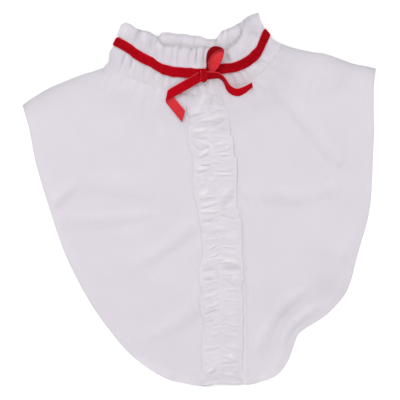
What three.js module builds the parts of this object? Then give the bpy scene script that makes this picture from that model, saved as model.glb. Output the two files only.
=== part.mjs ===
// A detachable blouse collar lying flat on a table: a bib of two lapped front panels over a plain back panel,
// a gathered stand collar closed by a velvet ribbon with a one-loop bow, and a gathered frill down the front.
// Millimetres, +X to the right, +Y towards the collar, +Z up. "Left" and "right" are as seen from above.
import * as THREE from "three";

// Driving dimensions
const clothThick = 1.0; // cotton, with its turned edges
const ribbonWidth = 10; // velvet ribbon
const ribbonThick = 1.0;
const seatGap = 0.3; // between pieces that rest on each other
const tableGap = 0.1; // under whatever hangs just clear of the table

const seamLap = 0.06; // share of the collar's height that is tucked under the bib
const ribbonShare = 0.45; // height of the ribbon's middle, as a share of the collar's height
const collarGathers = 27; // gathers around the whole collar
const ribbonBand = [0.34, 0.56]; // shares of the collar's height between which the ribbon holds it flat
const collarRows = [-seamLap, 0, ...ribbonBand, 0.78, 1]; // from the seam to the free edge
const gatherAtSeam = 0.2; // depth of the gathers from their middle: seam, ribbon, front and back edge
const gatherAtRibbon = 0.45;
const gatherAtFrontEdge = 2.0;
const gatherAtBackEdge = 1.8;
const ringSquareness = 0.8; // 1 gives the flattened ring round ends, less makes them squarer
const frontSlit = 1.6; // opening of the collar at centre front
const collarHeight = 50; // from seam to free edge, at centre front
const ribbonEnds = { left: 87.3, right: 442.5 }; // degrees round the collar, with 90 and 450 at centre front

const gatherDrift = { share: 0.9, every: 3.5 }; // makes the collar's gathers uneven

const frillGathers = 24;
const frillDepth = { stitch: 0.35, edge: 2.2 }; // depth of the frill's folds at its stitch line and free edges
const frillOpening = 0.7; // how soon the folds open: 1 is evenly, less is nearer to the stitch line
const frillDrift = { share: 0.8, every: 4.3, left: 0.6, right: -0.4 }; // makes the frill's gathers uneven
const frillSway = 0.7; // how far each fold pulls the free edge in or out
const neckRun = { flat: 9, down: 34 }; // from the neck seam, the bib is level and then comes down
const lapRun = { flat: 14, down: 30 }; // the same for the upper front, beside the lower front's hidden edge

const layer = clothThick + seatGap;
const frillClearance = layer + 0.2; // from the upper front to the lowest folds of the frill, at their middles
const backLevel = clothThick / 2; // heights of the middle of each layer of cloth
const bibLevel = backLevel + layer;
const neckLevel = { back: bibLevel, front: bibLevel + layer, bib: bibLevel + 2 * layer + gatherAtSeam };
const ribbonOffset = clothThick / 2 + gatherAtRibbon + seatGap + ribbonThick / 2;
const ribbonLevel = { back: tableGap + ribbonThick / 2 + ribbonOffset, front: 11.4 };
const edgeLevel = { back: tableGap + clothThick / 2 + gatherAtBackEdge, front: 12.8 };

// The stand collar, one row for each eighth of its half girth, from the left fold to the right fold.
// Each entry is a place in plan: the bib's neck seam, the middle of the ribbon, and the free edge.
const collarFront = [
  { seam: { x: -99.8, y: 140.2 }, ribbon: { x: -85.3, y: 166.3 }, edge: { x: -77.2, y: 185.2 } },
  { seam: { x: -75.0, y: 130.2 }, ribbon: { x: -67.1, y: 155.7 }, edge: { x: -60.5, y: 177.6 } },
  { seam: { x: -49.8, y: 121.1 }, ribbon: { x: -47.4, y: 143.8 }, edge: { x: -42.5, y: 168.0 } },
  { seam: { x: -24.2, y: 113.3 }, ribbon: { x: -26.0, y: 136.0 }, edge: { x: -22.0, y: 161.5 } },
  { seam: { x: 2.3, y: 109.3 }, ribbon: { x: -3.2, y: 134.3 }, edge: { x: -1.5, y: 160.8 } },
  { seam: { x: 28.6, y: 113.0 }, ribbon: { x: 19.4, y: 137.5 }, edge: { x: 18.0, y: 160.0 } },
  { seam: { x: 52.8, y: 123.6 }, ribbon: { x: 41.7, y: 142.5 }, edge: { x: 35.0, y: 163.0 } },
  { seam: { x: 72.6, y: 140.9 }, ribbon: { x: 58.8, y: 156.4 }, edge: { x: 50.5, y: 177.0 } },
  { seam: { x: 81.9, y: 165.4 }, ribbon: { x: 70.0, y: 176.0 }, edge: { x: 61.5, y: 195.2 } },
];
const collarBack = [
  { seam: { x: -99.8, y: 140.2 }, ribbon: { x: -85.3, y: 166.3 }, edge: { x: -77.2, y: 185.2 } },
  { seam: { x: -74.0, y: 133.0 }, ribbon: { x: -64.0, y: 157.0 }, edge: { x: -60.0, y: 175.6 } },
  { seam: { x: -49.0, y: 129.0 }, ribbon: { x: -43.0, y: 152.0 }, edge: { x: -43.0, y: 172.6 } },
  { seam: { x: -24.0, y: 127.0 }, ribbon: { x: -22.0, y: 150.0 }, edge: { x: -22.0, y: 174.8 } },
  { seam: { x: 1.0, y: 127.0 }, ribbon: { x: -2.0, y: 149.0 }, edge: { x: -2.0, y: 172.6 } },
  { seam: { x: 26.0, y: 130.0 }, ribbon: { x: 17.0, y: 150.0 }, edge: { x: 15.0, y: 171.0 } },
  { seam: { x: 49.0, y: 137.0 }, ribbon: { x: 36.0, y: 155.0 }, edge: { x: 31.0, y: 179.5 } },
  { seam: { x: 68.0, y: 149.0 }, ribbon: { x: 54.0, y: 164.0 }, edge: { x: 47.5, y: 189.5 } },
  { seam: { x: 81.9, y: 165.4 }, ribbon: { x: 70.0, y: 176.0 }, edge: { x: 61.5, y: 195.2 } },
];

// The bib's outline in plan: each shoulder from the neck to its tip, and each side from the foot of the
// front edge along the hem and up the armhole to the shoulder tip.
const leftShoulder = [
  { x: -99.8, y: 140.2 },
  { x: -125, y: 131.8 },
  { x: -156.5, y: 119.2 },
  { x: -185.9, y: 101.3 },
];
const rightShoulder = [
  { x: 81.9, y: 165.4 },
  { x: 89.3, y: 161.7 },
  { x: 127.1, y: 154.9 },
  { x: 164.9, y: 141.8 },
  { x: 185.9, y: 138.1 },
];
const leftSide = [
  { x: 53, y: -192 },
  { x: 24, y: -192.6 },
  { x: 7.4, y: -195 },
  { x: -21, y: -190.6 },
  { x: -50.4, y: -178 },
  { x: -74.6, y: -159.1 },
  { x: -95.6, y: -133.9 },
  { x: -113.4, y: -108.7 },
  { x: -139.7, y: -58.3 },
  { x: -160.7, y: 4.7 },
  { x: -177.5, y: 74 },
  { x: -185.9, y: 101.3 },
];
const rightSide = [
  { x: 12, y: -193 },
  { x: 43, y: -192.6 },
  { x: 60.9, y: -190.6 },
  { x: 78.8, y: -184.3 },
  { x: 90.3, y: -171.7 },
  { x: 100.8, y: -144.4 }, // the hem is drawn in here by a fold
  { x: 109.2, y: -133.9 },
  { x: 130.2, y: -121.3 },
  { x: 144.9, y: -107.6 },
  { x: 164.9, y: -58.3 },
  { x: 177.5, y: -14.2 },
  { x: 181.1, y: 36.2 },
  { x: 182.5, y: 95 },
  { x: 185.9, y: 138.1 },
];
// The back panel keeps a little inside that outline.
const backLeftSide = [
  { x: -176, y: 101 },
  { x: -168, y: 70 },
  { x: -152, y: 3 },
  { x: -132, y: -57 },
  { x: -106, y: -107 },
];
const backHem = [
  { x: -106, y: -107 },
  { x: -88, y: -132 },
  { x: -46, y: -171 },
  { x: 8, y: -187 },
  { x: 62, y: -182 },
  { x: 91, y: -146 },
  { x: 122, y: -117 },
];
const backRightSide = [
  { x: 176, y: 136 },
  { x: 175, y: 95 },
  { x: 170, y: -14 },
  { x: 146, y: -93 },
  { x: 122, y: -117 },
];
const backShoulderInset = 1; // how far its shoulder edges lie below the fronts'

// The front edge, one row for each height: the frill's stitch line and free edges, the edge of the
// upper front, and the hidden edge of the lower front.
const frontEdge = [
  { y: 118, stitch: 4.0, frillLeft: -15, frillRight: 22, upper: 24, lower: -14 },
  { y: 98, stitch: 7.0, frillLeft: -13, frillRight: 31, upper: 28, lower: -8 },
  { y: 42, stitch: 14.7, frillLeft: -7, frillRight: 39.5, upper: 38, lower: 3 },
  { y: 0, stitch: 21.0, frillLeft: -2, frillRight: 43, upper: 45, lower: 9 },
  { y: -42, stitch: 23.6, frillLeft: 3, frillRight: 46, upper: 49, lower: 12 },
  { y: -94, stitch: 23.6, frillLeft: 3, frillRight: 46.5, upper: 51, lower: 12 },
  { y: -146, stitch: 24.2, frillLeft: 3, frillRight: 46, upper: 52, lower: 12 },
  { y: -196, stitch: 23.0, frillLeft: 2, frillRight: 43, upper: 53, lower: 12 },
];
const frillTop = 108;
const frillFoot = -191;
const upperNeckEnd = 0.22; // where the two fronts end along the neck seam, with -1 and 1 at the folds
const lowerNeckEnd = -0.16;

// Soft folds of the bib: each is a rounded ridge between two places in plan.
const folds = [
  { name: "under the left shoulder", from: { x: -118, y: 126 }, to: { x: -88, y: 112 }, wide: 9, high: 1.6 },
  { name: "left side, upper", from: { x: -158, y: -4 }, to: { x: -122, y: 18 }, wide: 10, high: 2.4 },
  { name: "left side, level", from: { x: -125, y: -16 }, to: { x: -45, y: -12 }, wide: 9, high: 1.2 },
  { name: "left, towards the frill", from: { x: -70, y: -66 }, to: { x: -12, y: -20 }, wide: 11, high: 2.2 },
  { name: "left, above the hem", from: { x: -66, y: -146 }, to: { x: -16, y: -112 }, wide: 10, high: 2.0 },
  { name: "right, under the neck", from: { x: 52, y: 94 }, to: { x: 80, y: 84 }, wide: 9, high: 1.4 },
  { name: "right, slanting", from: { x: 92, y: 100 }, to: { x: 150, y: 28 }, wide: 13, high: 2.2 },
  { name: "right, level", from: { x: 66, y: 10 }, to: { x: 146, y: 6 }, wide: 10, high: 1.5 },
  { name: "right, at the pulled hem", from: { x: 84, y: -150 }, to: { x: 150, y: -70 }, wide: 13, high: 3.4 },
  { name: "right, beside the frill", from: { x: 74, y: -160 }, to: { x: 78, y: -120 }, wide: 7, high: 1.4 },
];

// The bow. Each row of the loop and of the right tail gives the middle of the ribbon, and its roll:
// 0 lies flat with the pile up, -90 stands on edge with the pile outwards, -180 shows the back.
const knot = {
  x: 5.2,
  y: 131.6,
  wide: 7.4,
  long: 12.8,
  high: 5.4,
  lowest: 12.7,
  squareness: 0.7, // of its section: 1 is an ellipse, less is squarer
  pinch: 0.16, // share of its width that is drawn in at both ends
  tip: 0.45, // size of the section at both ends, as a share of the middle's
};
const loopRows = [
  { x: 12.4, y: 138.6, z: 17.6, roll: -50 },
  { x: 10.4, y: 143.7, z: 19.4, roll: -74 },
  { x: 10.0, y: 149.8, z: 20.8, roll: -68 },
  { x: 12.0, y: 155.2, z: 21.2, roll: -56 },
  { x: 15.6, y: 158.0, z: 21.4, roll: -54 },
  { x: 20.0, y: 158.6, z: 21.4, roll: -70 },
  { x: 23.2, y: 154.6, z: 20.9, roll: -112 },
  { x: 21.4, y: 148.6, z: 19.9, roll: -140 },
  { x: 18.0, y: 142.4, z: 18.9, roll: -156 },
  { x: 15.8, y: 138.4, z: 18.5, roll: -163 },
];
const rightTailRows = [
  { x: 9.7, y: 130.7, z: 15.4, roll: 18 },
  { x: 18.4, y: 130.5, z: 15.4, roll: 40 },
  { x: 24.0, y: 128.4, z: 14.9, roll: 54 },
  { x: 28.0, y: 123.4, z: 13.9, roll: 62 },
  { x: 31.4, y: 117.6, z: 12.8, roll: 54 },
  { x: 35.8, y: 114.0, z: 11.9, roll: 44 },
  { x: 41.2, y: 113.2, z: 11.2, roll: 39 },
  { x: 47.6, y: 115.9, z: 11.2, roll: 45 },
  { x: 55.6, y: 121.0, z: 11.8, roll: 54 },
];
// The left tail lies flat, is creased once, and comes back under itself.
const leftTail = {
  start: { x: -0.2, y: 128.9 },
  heading: 209.4, // degrees from +X
  crease: 37.5, // distance along the tail's middle to the crease
  creaseHeading: 260.5,
  length: 65.2,
  slant: 3.4, // how far the cut end leans
  bendRadius: 0.75,
  startHeight: 15.1,
  restHeight: 9.4, // height at the crease
  endHeight: 8.9,
};

const smooth = (x, from, to) => THREE.MathUtils.smoothstep(x, Math.min(from, to), Math.max(from, to));
const mix = THREE.MathUtils.lerp;

function planCurve(points) {
  return new THREE.CatmullRomCurve3(points.map(({ x, y }) => new THREE.Vector3(x, y, 0)), false, "centripetal");
}

// A wall of even thickness around a grid of points. grid[i][j] is a point of its middle surface.
function wallGeometry(grid, thickness) {
  const rows = grid.length;
  const columns = grid[0].length;
  const { clamp } = THREE.MathUtils;
  const clampedPoint = (i, j) => grid[clamp(i, 0, rows - 1)][clamp(j, 0, columns - 1)];
  const positions = [];
  for (const side of [1, -1]) {
    for (let i = 0; i < rows; i++) {
      for (let j = 0; j < columns; j++) {
        const along = clampedPoint(i + 1, j).clone().sub(clampedPoint(i - 1, j));
        const across = clampedPoint(i, j + 1).clone().sub(clampedPoint(i, j - 1));
        const normal = along.cross(across).normalize();
        const p = grid[i][j].clone().addScaledVector(normal, (side * thickness) / 2);
        positions.push(p.x, p.y, p.z);
      }
    }
  }
  const at = (side, i, j) => side * rows * columns + i * columns + j;
  const index = [];
  const quad = (a, b, c, d) => index.push(a, b, c, a, c, d);
  for (let i = 0; i < rows - 1; i++) {
    for (let j = 0; j < columns - 1; j++) {
      quad(at(0, i, j), at(0, i + 1, j), at(0, i + 1, j + 1), at(0, i, j + 1));
      quad(at(1, i, j), at(1, i, j + 1), at(1, i + 1, j + 1), at(1, i + 1, j));
    }
  }
  for (let i = 0; i < rows - 1; i++) {
    quad(at(0, i, 0), at(1, i, 0), at(1, i + 1, 0), at(0, i + 1, 0));
    quad(at(0, i + 1, columns - 1), at(1, i + 1, columns - 1), at(1, i, columns - 1), at(0, i, columns - 1));
  }
  for (let j = 0; j < columns - 1; j++) {
    quad(at(0, 0, j + 1), at(1, 0, j + 1), at(1, 0, j), at(0, 0, j));
    quad(at(0, rows - 1, j), at(1, rows - 1, j), at(1, rows - 1, j + 1), at(0, rows - 1, j + 1));
  }
  const geometry = new THREE.BufferGeometry();
  geometry.setAttribute("position", new THREE.Float32BufferAttribute(positions, 3));
  geometry.setIndex(index);
  geometry.computeVertexNormals();
  return geometry;
}

// A grid of points between four plan curves. u runs along near and far, v from near to far.
// The rows are closest together at near, and the columns at start.
function patch(near, far, start, end, across, down, closeness = 1.3) {
  const corner = { a: near.getPointAt(0), b: near.getPointAt(1), c: far.getPointAt(0), d: far.getPointAt(1) };
  const grid = [];
  for (let i = 0; i <= across; i++) {
    const u = (i / across) ** closeness;
    const column = [];
    for (let j = 0; j <= down; j++) {
      const v = (j / down) ** closeness;
      const p = near.getPointAt(u).multiplyScalar(1 - v).addScaledVector(far.getPointAt(u), v);
      p.addScaledVector(start.getPointAt(v), 1 - u).addScaledVector(end.getPointAt(v), u);
      p.addScaledVector(corner.a, -(1 - u) * (1 - v)).addScaledVector(corner.b, -u * (1 - v));
      p.addScaledVector(corner.c, -(1 - u) * v).addScaledVector(corner.d, -u * v);
      column.push(p);
    }
    grid.push(column);
  }
  return grid;
}

// A value of the front edge's table at a height.
function frontEdgeAt(y, column) {
  const rows = frontEdge;
  const next = rows.findIndex((row) => row.y < y);
  if (next === 0) return rows[0][column];
  if (next === -1) return rows[rows.length - 1][column];
  const share = (rows[next - 1].y - y) / (rows[next - 1].y - rows[next].y);
  return mix(rows[next - 1][column], rows[next][column], share);
}

const seamCurve = planCurve(collarFront.map((row) => row.seam));
const seamSamples = seamCurve.getSpacedPoints(120);

function seamPart(from, to) {
  const steps = 12;
  const points = [];
  for (let i = 0; i <= steps; i++) {
    const p = seamCurve.getPoint((mix(from, to, i / steps) + 1) / 2);
    points.push(p);
  }
  return planCurve(points);
}

function foldHeight(x, y) {
  let height = 0;
  for (const fold of folds) {
    const { from, to } = fold;
    const run = { x: to.x - from.x, y: to.y - from.y };
    const along = ((x - from.x) * run.x + (y - from.y) * run.y) / (run.x ** 2 + run.y ** 2);
    const share = THREE.MathUtils.clamp(along, 0, 1);
    const away = Math.hypot(x - mix(from.x, to.x, share), y - mix(from.y, to.y, share));
    height += fold.high * Math.exp(-((away / fold.wide) ** 2));
  }
  return height;
}

// Height of the middle of the lower front (on the right) and of the upper front (on the left).
function lowerFrontLevel(x, y) {
  const fromNeck = Math.min(...seamSamples.map((p) => Math.hypot(p.x - x, p.y - y)));
  const rise = 1 - smooth(fromNeck, neckRun.flat, neckRun.down);
  return mix(bibLevel, neckLevel.bib, rise) + foldHeight(x, y);
}

function upperFrontLevel(x, y) {
  const overLower = smooth(x - frontEdgeAt(y, "lower"), -lapRun.down, -lapRun.flat);
  return lowerFrontLevel(x, y) + layer * overLower;
}

function lift(grid, level) {
  for (const column of grid) {
    for (const p of column) {
      p.z = level(p.x, p.y);
    }
  }
  return grid;
}

function backPanel() {
  const neck = collarBack.map((row) => row.seam);
  const shoulderOf = (edge) => edge.slice(1, -1).map(({ x, y }) => ({ x, y: y - backShoulderInset }));
  const left = shoulderOf(leftShoulder).reverse();
  const top = [backLeftSide[0], ...left, ...neck, ...shoulderOf(rightShoulder), backRightSide[0]];
  const sides = [planCurve(backLeftSide), planCurve(backRightSide)];
  const grid = patch(planCurve(top), planCurve(backHem), ...sides, 22, 8, 1);
  return wallGeometry(lift(grid, () => backLevel), clothThick);
}

function upperFront() {
  const free = frontEdge.slice(1, -1).map((row) => ({ x: row.upper, y: row.y }));
  const neck = seamPart(upperNeckEnd, -1);
  const placketEdge = planCurve([neck.getPointAt(0), ...free, leftSide[0]]);
  const grid = patch(neck, planCurve(leftSide), placketEdge, planCurve(leftShoulder), 24, 14);
  return wallGeometry(lift(grid, upperFrontLevel), clothThick);
}

function lowerFront() {
  const hidden = frontEdge.slice(1, -1).map((row) => ({ x: row.lower, y: row.y }));
  const neck = seamPart(lowerNeckEnd, 1);
  const hiddenEdge = planCurve([neck.getPointAt(0), ...hidden, rightSide[0]]);
  const grid = patch(neck, planCurve(rightSide), hiddenEdge, planCurve(rightShoulder), 26, 14);
  return wallGeometry(lift(grid, lowerFrontLevel), clothThick);
}

const collarCurves = {};
for (const [name, rows] of Object.entries({ front: collarFront, back: collarBack })) {
  collarCurves[name] = {};
  for (const line of ["seam", "ribbon", "edge"]) {
    collarCurves[name][line] = planCurve(rows.map((row) => row[line]));
  }
}

// Three values at the seam, the ribbon and the free edge, joined by one smooth curve. v runs from 0 to 1.
function upTheCollar(v, seam, ribbon, edge) {
  const r = ribbonShare;
  const fromSeam = (seam * (v - r) * (v - 1)) / r;
  const fromRibbon = (ribbon * v * (v - 1)) / (r * (r - 1));
  const fromEdge = (edge * v * (v - r)) / (1 - r);
  return fromSeam + fromRibbon + fromEdge;
}

// The middle of the collar's flattened ring. The angle is 0 at the right fold and 90 degrees at centre front.
function ringPoint(angle, v) {
  const half = Math.sin(angle) >= 0 ? "front" : "back";
  const share = (Math.cos(angle) + 1) / 2;
  const curves = collarCurves[half];
  const [seam, ribbon, edge] = ["seam", "ribbon", "edge"].map((line) => curves[line].getPoint(share));
  const levelAt = (side) => {
    const rise = smooth(v, 0, ribbonShare);
    const toEdge = smooth(v, ribbonShare, 1);
    return mix(mix(neckLevel[side], ribbonLevel[side], rise), edgeLevel[side], toEdge);
  };
  const middle = (levelAt("front") + levelAt("back")) / 2;
  const halfHeight = (levelAt("front") - levelAt("back")) / 2;
  return new THREE.Vector3(
    upTheCollar(v, seam.x, ribbon.x, edge.x),
    upTheCollar(v, seam.y, ribbon.y, edge.y),
    middle + Math.sign(Math.sin(angle)) * halfHeight * Math.abs(Math.sin(angle)) ** ringSquareness,
  );
}

// Angles that are evenly spaced along the ring at the ribbon's height, from one side of the slit to the other.
function evenRingAngles(steps) {
  const fine = 720;
  const angles = [];
  const lengths = [0];
  for (let i = 0; i <= fine; i++) {
    angles.push(Math.PI / 2 + (2 * Math.PI * i) / fine);
    if (i > 0) lengths.push(lengths[i - 1] + ringPoint(angles[i], ribbonShare).distanceTo(
      ringPoint(angles[i - 1], ribbonShare)));
  }
  const total = lengths[fine];
  const found = [];
  let k = 0;
  for (let i = 0; i <= steps; i++) {
    const wanted = mix(frontSlit / 2, total - frontSlit / 2, i / steps);
    while (lengths[k + 1] < wanted) k++;
    found.push(mix(angles[k], angles[k + 1], (wanted - lengths[k]) / (lengths[k + 1] - lengths[k])));
  }
  return found;
}

// A point of the ring moved outwards, square to it.
function ringOffset(angle, v, distance) {
  const step = 0.01;
  const p = ringPoint(angle, v);
  const around = ringPoint(angle + step, v).sub(ringPoint(angle - step, v));
  const up = ringPoint(angle, v + step).sub(ringPoint(angle, v - step));
  return p.addScaledVector(up.cross(around).normalize(), distance);
}

function collarFrill() {
  const steps = collarGathers * 5;
  const angles = evenRingAngles(steps);
  const grid = angles.map((angle, i) => {
    const turn = (2 * Math.PI * collarGathers * i) / steps;
    const column = [];
    for (const v of collarRows) {
      const towardsFront = (Math.sin(angle) + 1) / 2;
      const atEdge = mix(gatherAtBackEdge, gatherAtFrontEdge, towardsFront);
      const tight = mix(gatherAtSeam, gatherAtRibbon, smooth(v, 0, ribbonBand[0]));
      const depth = mix(tight, atEdge, smooth(v, ribbonBand[1], 1));
      const wave = Math.sin(turn + gatherDrift.share * Math.sin(turn / gatherDrift.every));
      column.push(ringOffset(angle, v, depth * wave));
    }
    return column;
  });
  return wallGeometry(grid, clothThick);
}

// The ribbon round the collar, from one side of the knot all the way round to the other.
function neckRibbon() {
  const steps = 72;
  const grid = [];
  for (let i = 0; i <= steps; i++) {
    const angle = THREE.MathUtils.degToRad(mix(ribbonEnds.left, ribbonEnds.right, i / steps));
    const column = [];
    for (const side of [-1, 1]) {
      column.push(ringOffset(angle, ribbonShare + (side * ribbonWidth) / 2 / collarHeight, ribbonOffset));
    }
    grid.push(column);
  }
  return wallGeometry(grid, ribbonThick);
}

// The frill down the front: a strip gathered along its middle, with folds that open towards its free edges.
function frontFrill() {
  const steps = frillGathers * 5;
  const stations = [-1, -0.5, 0, 0.5, 1]; // across, from the left edge to the right one
  const grid = [];
  for (let i = 0; i <= steps; i++) {
    const turn = (2 * Math.PI * frillGathers * i) / steps;
    const y = mix(frillTop, frillFoot, i / steps);
    const column = [];
    for (const c of stations) {
      const middle = frontEdgeAt(y, "stitch");
      const edge = frontEdgeAt(y, c < 0 ? "frillLeft" : "frillRight");
      const open = Math.abs(c) ** frillOpening;
      const drift = frillDrift.share * Math.sin(turn / frillDrift.every);
      const wave = Math.sin(turn + (c < 0 ? frillDrift.left : frillDrift.right) * open + drift);
      const x = mix(middle, edge, Math.abs(c)) + frillSway * c * wave;
      const depth = mix(frillDepth.stitch, frillDepth.edge, open);
      const z = upperFrontLevel(Math.min(x, frontEdgeAt(y, "upper")), y) + frillClearance + depth * (1 + wave);
      column.push(new THREE.Vector3(x, y, z));
    }
    grid.push(column);
  }
  return wallGeometry(grid, clothThick);
}

// The knot: ribbon wrapped once round the tie, pinched in at its waist.
function bowKnot() {
  const around = 14;
  const along = 8;
  const positions = [];
  const ring = (share, scale) => {
    for (let i = 0; i < around; i++) {
      const a = (2 * Math.PI * i) / around;
      const rounded = (value) => Math.sign(value) * Math.abs(value) ** knot.squareness;
      const waist = 1 - knot.pinch * Math.cos(share * Math.PI) ** 2;
      positions.push(
        knot.x + (knot.wide / 2) * waist * scale * rounded(Math.cos(a)),
        knot.y + (knot.long / 2) * share,
        knot.lowest + (knot.high / 2) * (1 + scale * rounded(Math.sin(a))),
      );
    }
  };
  for (let j = 0; j <= along; j++) {
    const share = -Math.cos((Math.PI * j) / along);
    ring(share, mix(knot.tip, 1, Math.sqrt(Math.max(0, 1 - share ** 4))));
  }
  const index = [];
  for (let j = 0; j < along; j++) {
    for (let i = 0; i < around; i++) {
      const next = (i + 1) % around;
      const [a, b, c, d] = [j * around + i, j * around + next, (j + 1) * around + next, (j + 1) * around + i];
      index.push(a, c, b, a, d, c);
    }
  }
  for (let i = 1; i < around - 1; i++) {
    const last = along * around;
    index.push(0, i, i + 1, last, last + i + 1, last + i);
  }
  const geometry = new THREE.BufferGeometry();
  geometry.setAttribute("position", new THREE.Float32BufferAttribute(positions, 3));
  geometry.setIndex(index);
  geometry.computeVertexNormals();
  return geometry;
}

// A ribbon that follows rows of places, each with its roll about the way that it runs.
function rolledRibbon(rows, steps) {
  const path = new THREE.CatmullRomCurve3(rows.map((row) => new THREE.Vector3(row.x, row.y, row.z)));
  const grid = [];
  for (let i = 0; i <= steps; i++) {
    const t = i / steps;
    const at = t * (rows.length - 1);
    const k = Math.min(rows.length - 2, Math.floor(at));
    const roll = THREE.MathUtils.degToRad(mix(rows[k].roll, rows[k + 1].roll, at - k));
    const tangent = path.getTangent(t);
    const flat = new THREE.Vector3(-tangent.y, tangent.x, 0).normalize();
    const upright = tangent.clone().cross(flat).normalize();
    const wide = flat.multiplyScalar(Math.cos(roll)).addScaledVector(upright, Math.sin(roll));
    const middle = path.getPoint(t);
    grid.push([1, 0, -1].map((side) => middle.clone().addScaledVector(wide, (side * ribbonWidth) / 2)));
  }
  return wallGeometry(grid, ribbonThick);
}

// The left tail: a straight ribbon that runs out, turns over a slanting crease and comes back below itself.
function creasedTail() {
  const steps = 26;
  const turned = (degrees) => {
    const a = THREE.MathUtils.degToRad(degrees);
    return new THREE.Vector3(Math.cos(a), Math.sin(a), 0);
  };
  const run = turned(leftTail.heading);
  const side = turned(leftTail.heading + 90);
  const crease = turned(leftTail.creaseHeading);
  const outward = turned(leftTail.creaseHeading - 90);
  const start = new THREE.Vector3(leftTail.start.x, leftTail.start.y, 0);
  const hinge = start.clone().addScaledVector(run, leftTail.crease);
  const grid = [];
  for (let i = 0; i <= steps; i++) {
    const along = (leftTail.length * i) / steps;
    const column = [];
    for (const share of [-1, -0.5, 0, 0.5, 1]) {
      const slant = share * leftTail.slant * smooth(along, leftTail.crease + 8, leftTail.length);
      const flat = start.clone().addScaledVector(run, along + slant);
      flat.addScaledVector(side, (share * ribbonWidth) / 2);
      const past = flat.clone().sub(hinge).dot(outward);
      const down = flat.clone().sub(hinge).dot(crease);
      const r = leftTail.bendRadius;
      const bend = THREE.MathUtils.clamp(past / r, 0, Math.PI);
      const reach = past <= 0 ? past : r * Math.sin(bend) - Math.max(0, past - Math.PI * r);
      const drop = past <= 0 ? 0 : r * (1 - Math.cos(bend));
      const p = hinge.clone().addScaledVector(crease, down).addScaledVector(outward, reach);
      const fall = smooth(along, 0, leftTail.crease);
      const settle = smooth(along, leftTail.crease, leftTail.length);
      const height = mix(leftTail.startHeight, leftTail.restHeight, fall);
      p.z = mix(height, leftTail.endHeight, settle) - drop;
      column.push(p);
    }
    grid.push(column);
  }
  return wallGeometry(grid, ribbonThick);
}

const cotton = new THREE.MeshStandardMaterial({ color: 0xe6e1e8, roughness: 0.9, metalness: 0 });
const velvet = new THREE.MeshStandardMaterial({ color: 0xa80a18, roughness: 0.95, metalness: 0 });

const collar = new THREE.Group();
function piece(name, geometry, material) {
  const mesh = new THREE.Mesh(geometry, material);
  mesh.name = name;
  collar.add(mesh);
}
piece("back_panel", backPanel(), cotton);
piece("lower_front", lowerFront(), cotton);
piece("upper_front", upperFront(), cotton);
piece("collar_frill", collarFrill(), cotton);
piece("front_frill", frontFrill(), cotton);
piece("neck_ribbon", neckRibbon(), velvet);
piece("bow_knot", bowKnot(), velvet);
piece("bow_loop", rolledRibbon(loopRows, 28), velvet);
piece("right_tail", rolledRibbon(rightTailRows, 26), velvet);
piece("left_tail", creasedTail(), velvet);

export default collar;
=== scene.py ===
import math
import bpy
import numpy as np
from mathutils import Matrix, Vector


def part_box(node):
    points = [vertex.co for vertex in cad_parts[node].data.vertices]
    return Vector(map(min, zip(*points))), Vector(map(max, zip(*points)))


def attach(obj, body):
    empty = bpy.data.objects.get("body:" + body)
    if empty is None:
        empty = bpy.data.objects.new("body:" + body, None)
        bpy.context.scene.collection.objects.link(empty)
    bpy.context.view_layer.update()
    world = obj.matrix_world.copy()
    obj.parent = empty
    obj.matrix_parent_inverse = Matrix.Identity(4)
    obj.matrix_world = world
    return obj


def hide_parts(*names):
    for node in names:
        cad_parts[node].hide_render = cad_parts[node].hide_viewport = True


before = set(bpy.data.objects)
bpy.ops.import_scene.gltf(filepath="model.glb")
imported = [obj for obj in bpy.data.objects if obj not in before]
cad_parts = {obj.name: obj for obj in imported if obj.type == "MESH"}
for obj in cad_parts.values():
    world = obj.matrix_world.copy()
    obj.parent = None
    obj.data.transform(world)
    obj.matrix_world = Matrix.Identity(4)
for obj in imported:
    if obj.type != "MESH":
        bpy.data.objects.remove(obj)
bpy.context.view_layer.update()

mm = 0.001


def rowsOf(columns, rows):  # a table's rows under the names of its columns
    return [dict(zip(columns.split(), row)) for row in rows]


def column(rows, name):
    return [row[name] for row in rows]


# Heights of the middle of each layer of cloth, in millimetres over the table
levels = {
    "back": 0.4,
    "bib": 1.8,
    "layer": 0.48,  # from the lower front to the upper one
    "hemOnTable": 0.5,
    "neckBack": 1.8,
    "neckFront": 5.8,
    "neckBib": 6.4,
    "neckFold": 4.3,  # the bib's level where the collar folds over at each side
    "ribbonBack": 2.35,
    "ribbonFront": 11.4,
    "edgeBack": 4.8,
    "edgeFront": 9.6,
}

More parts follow.
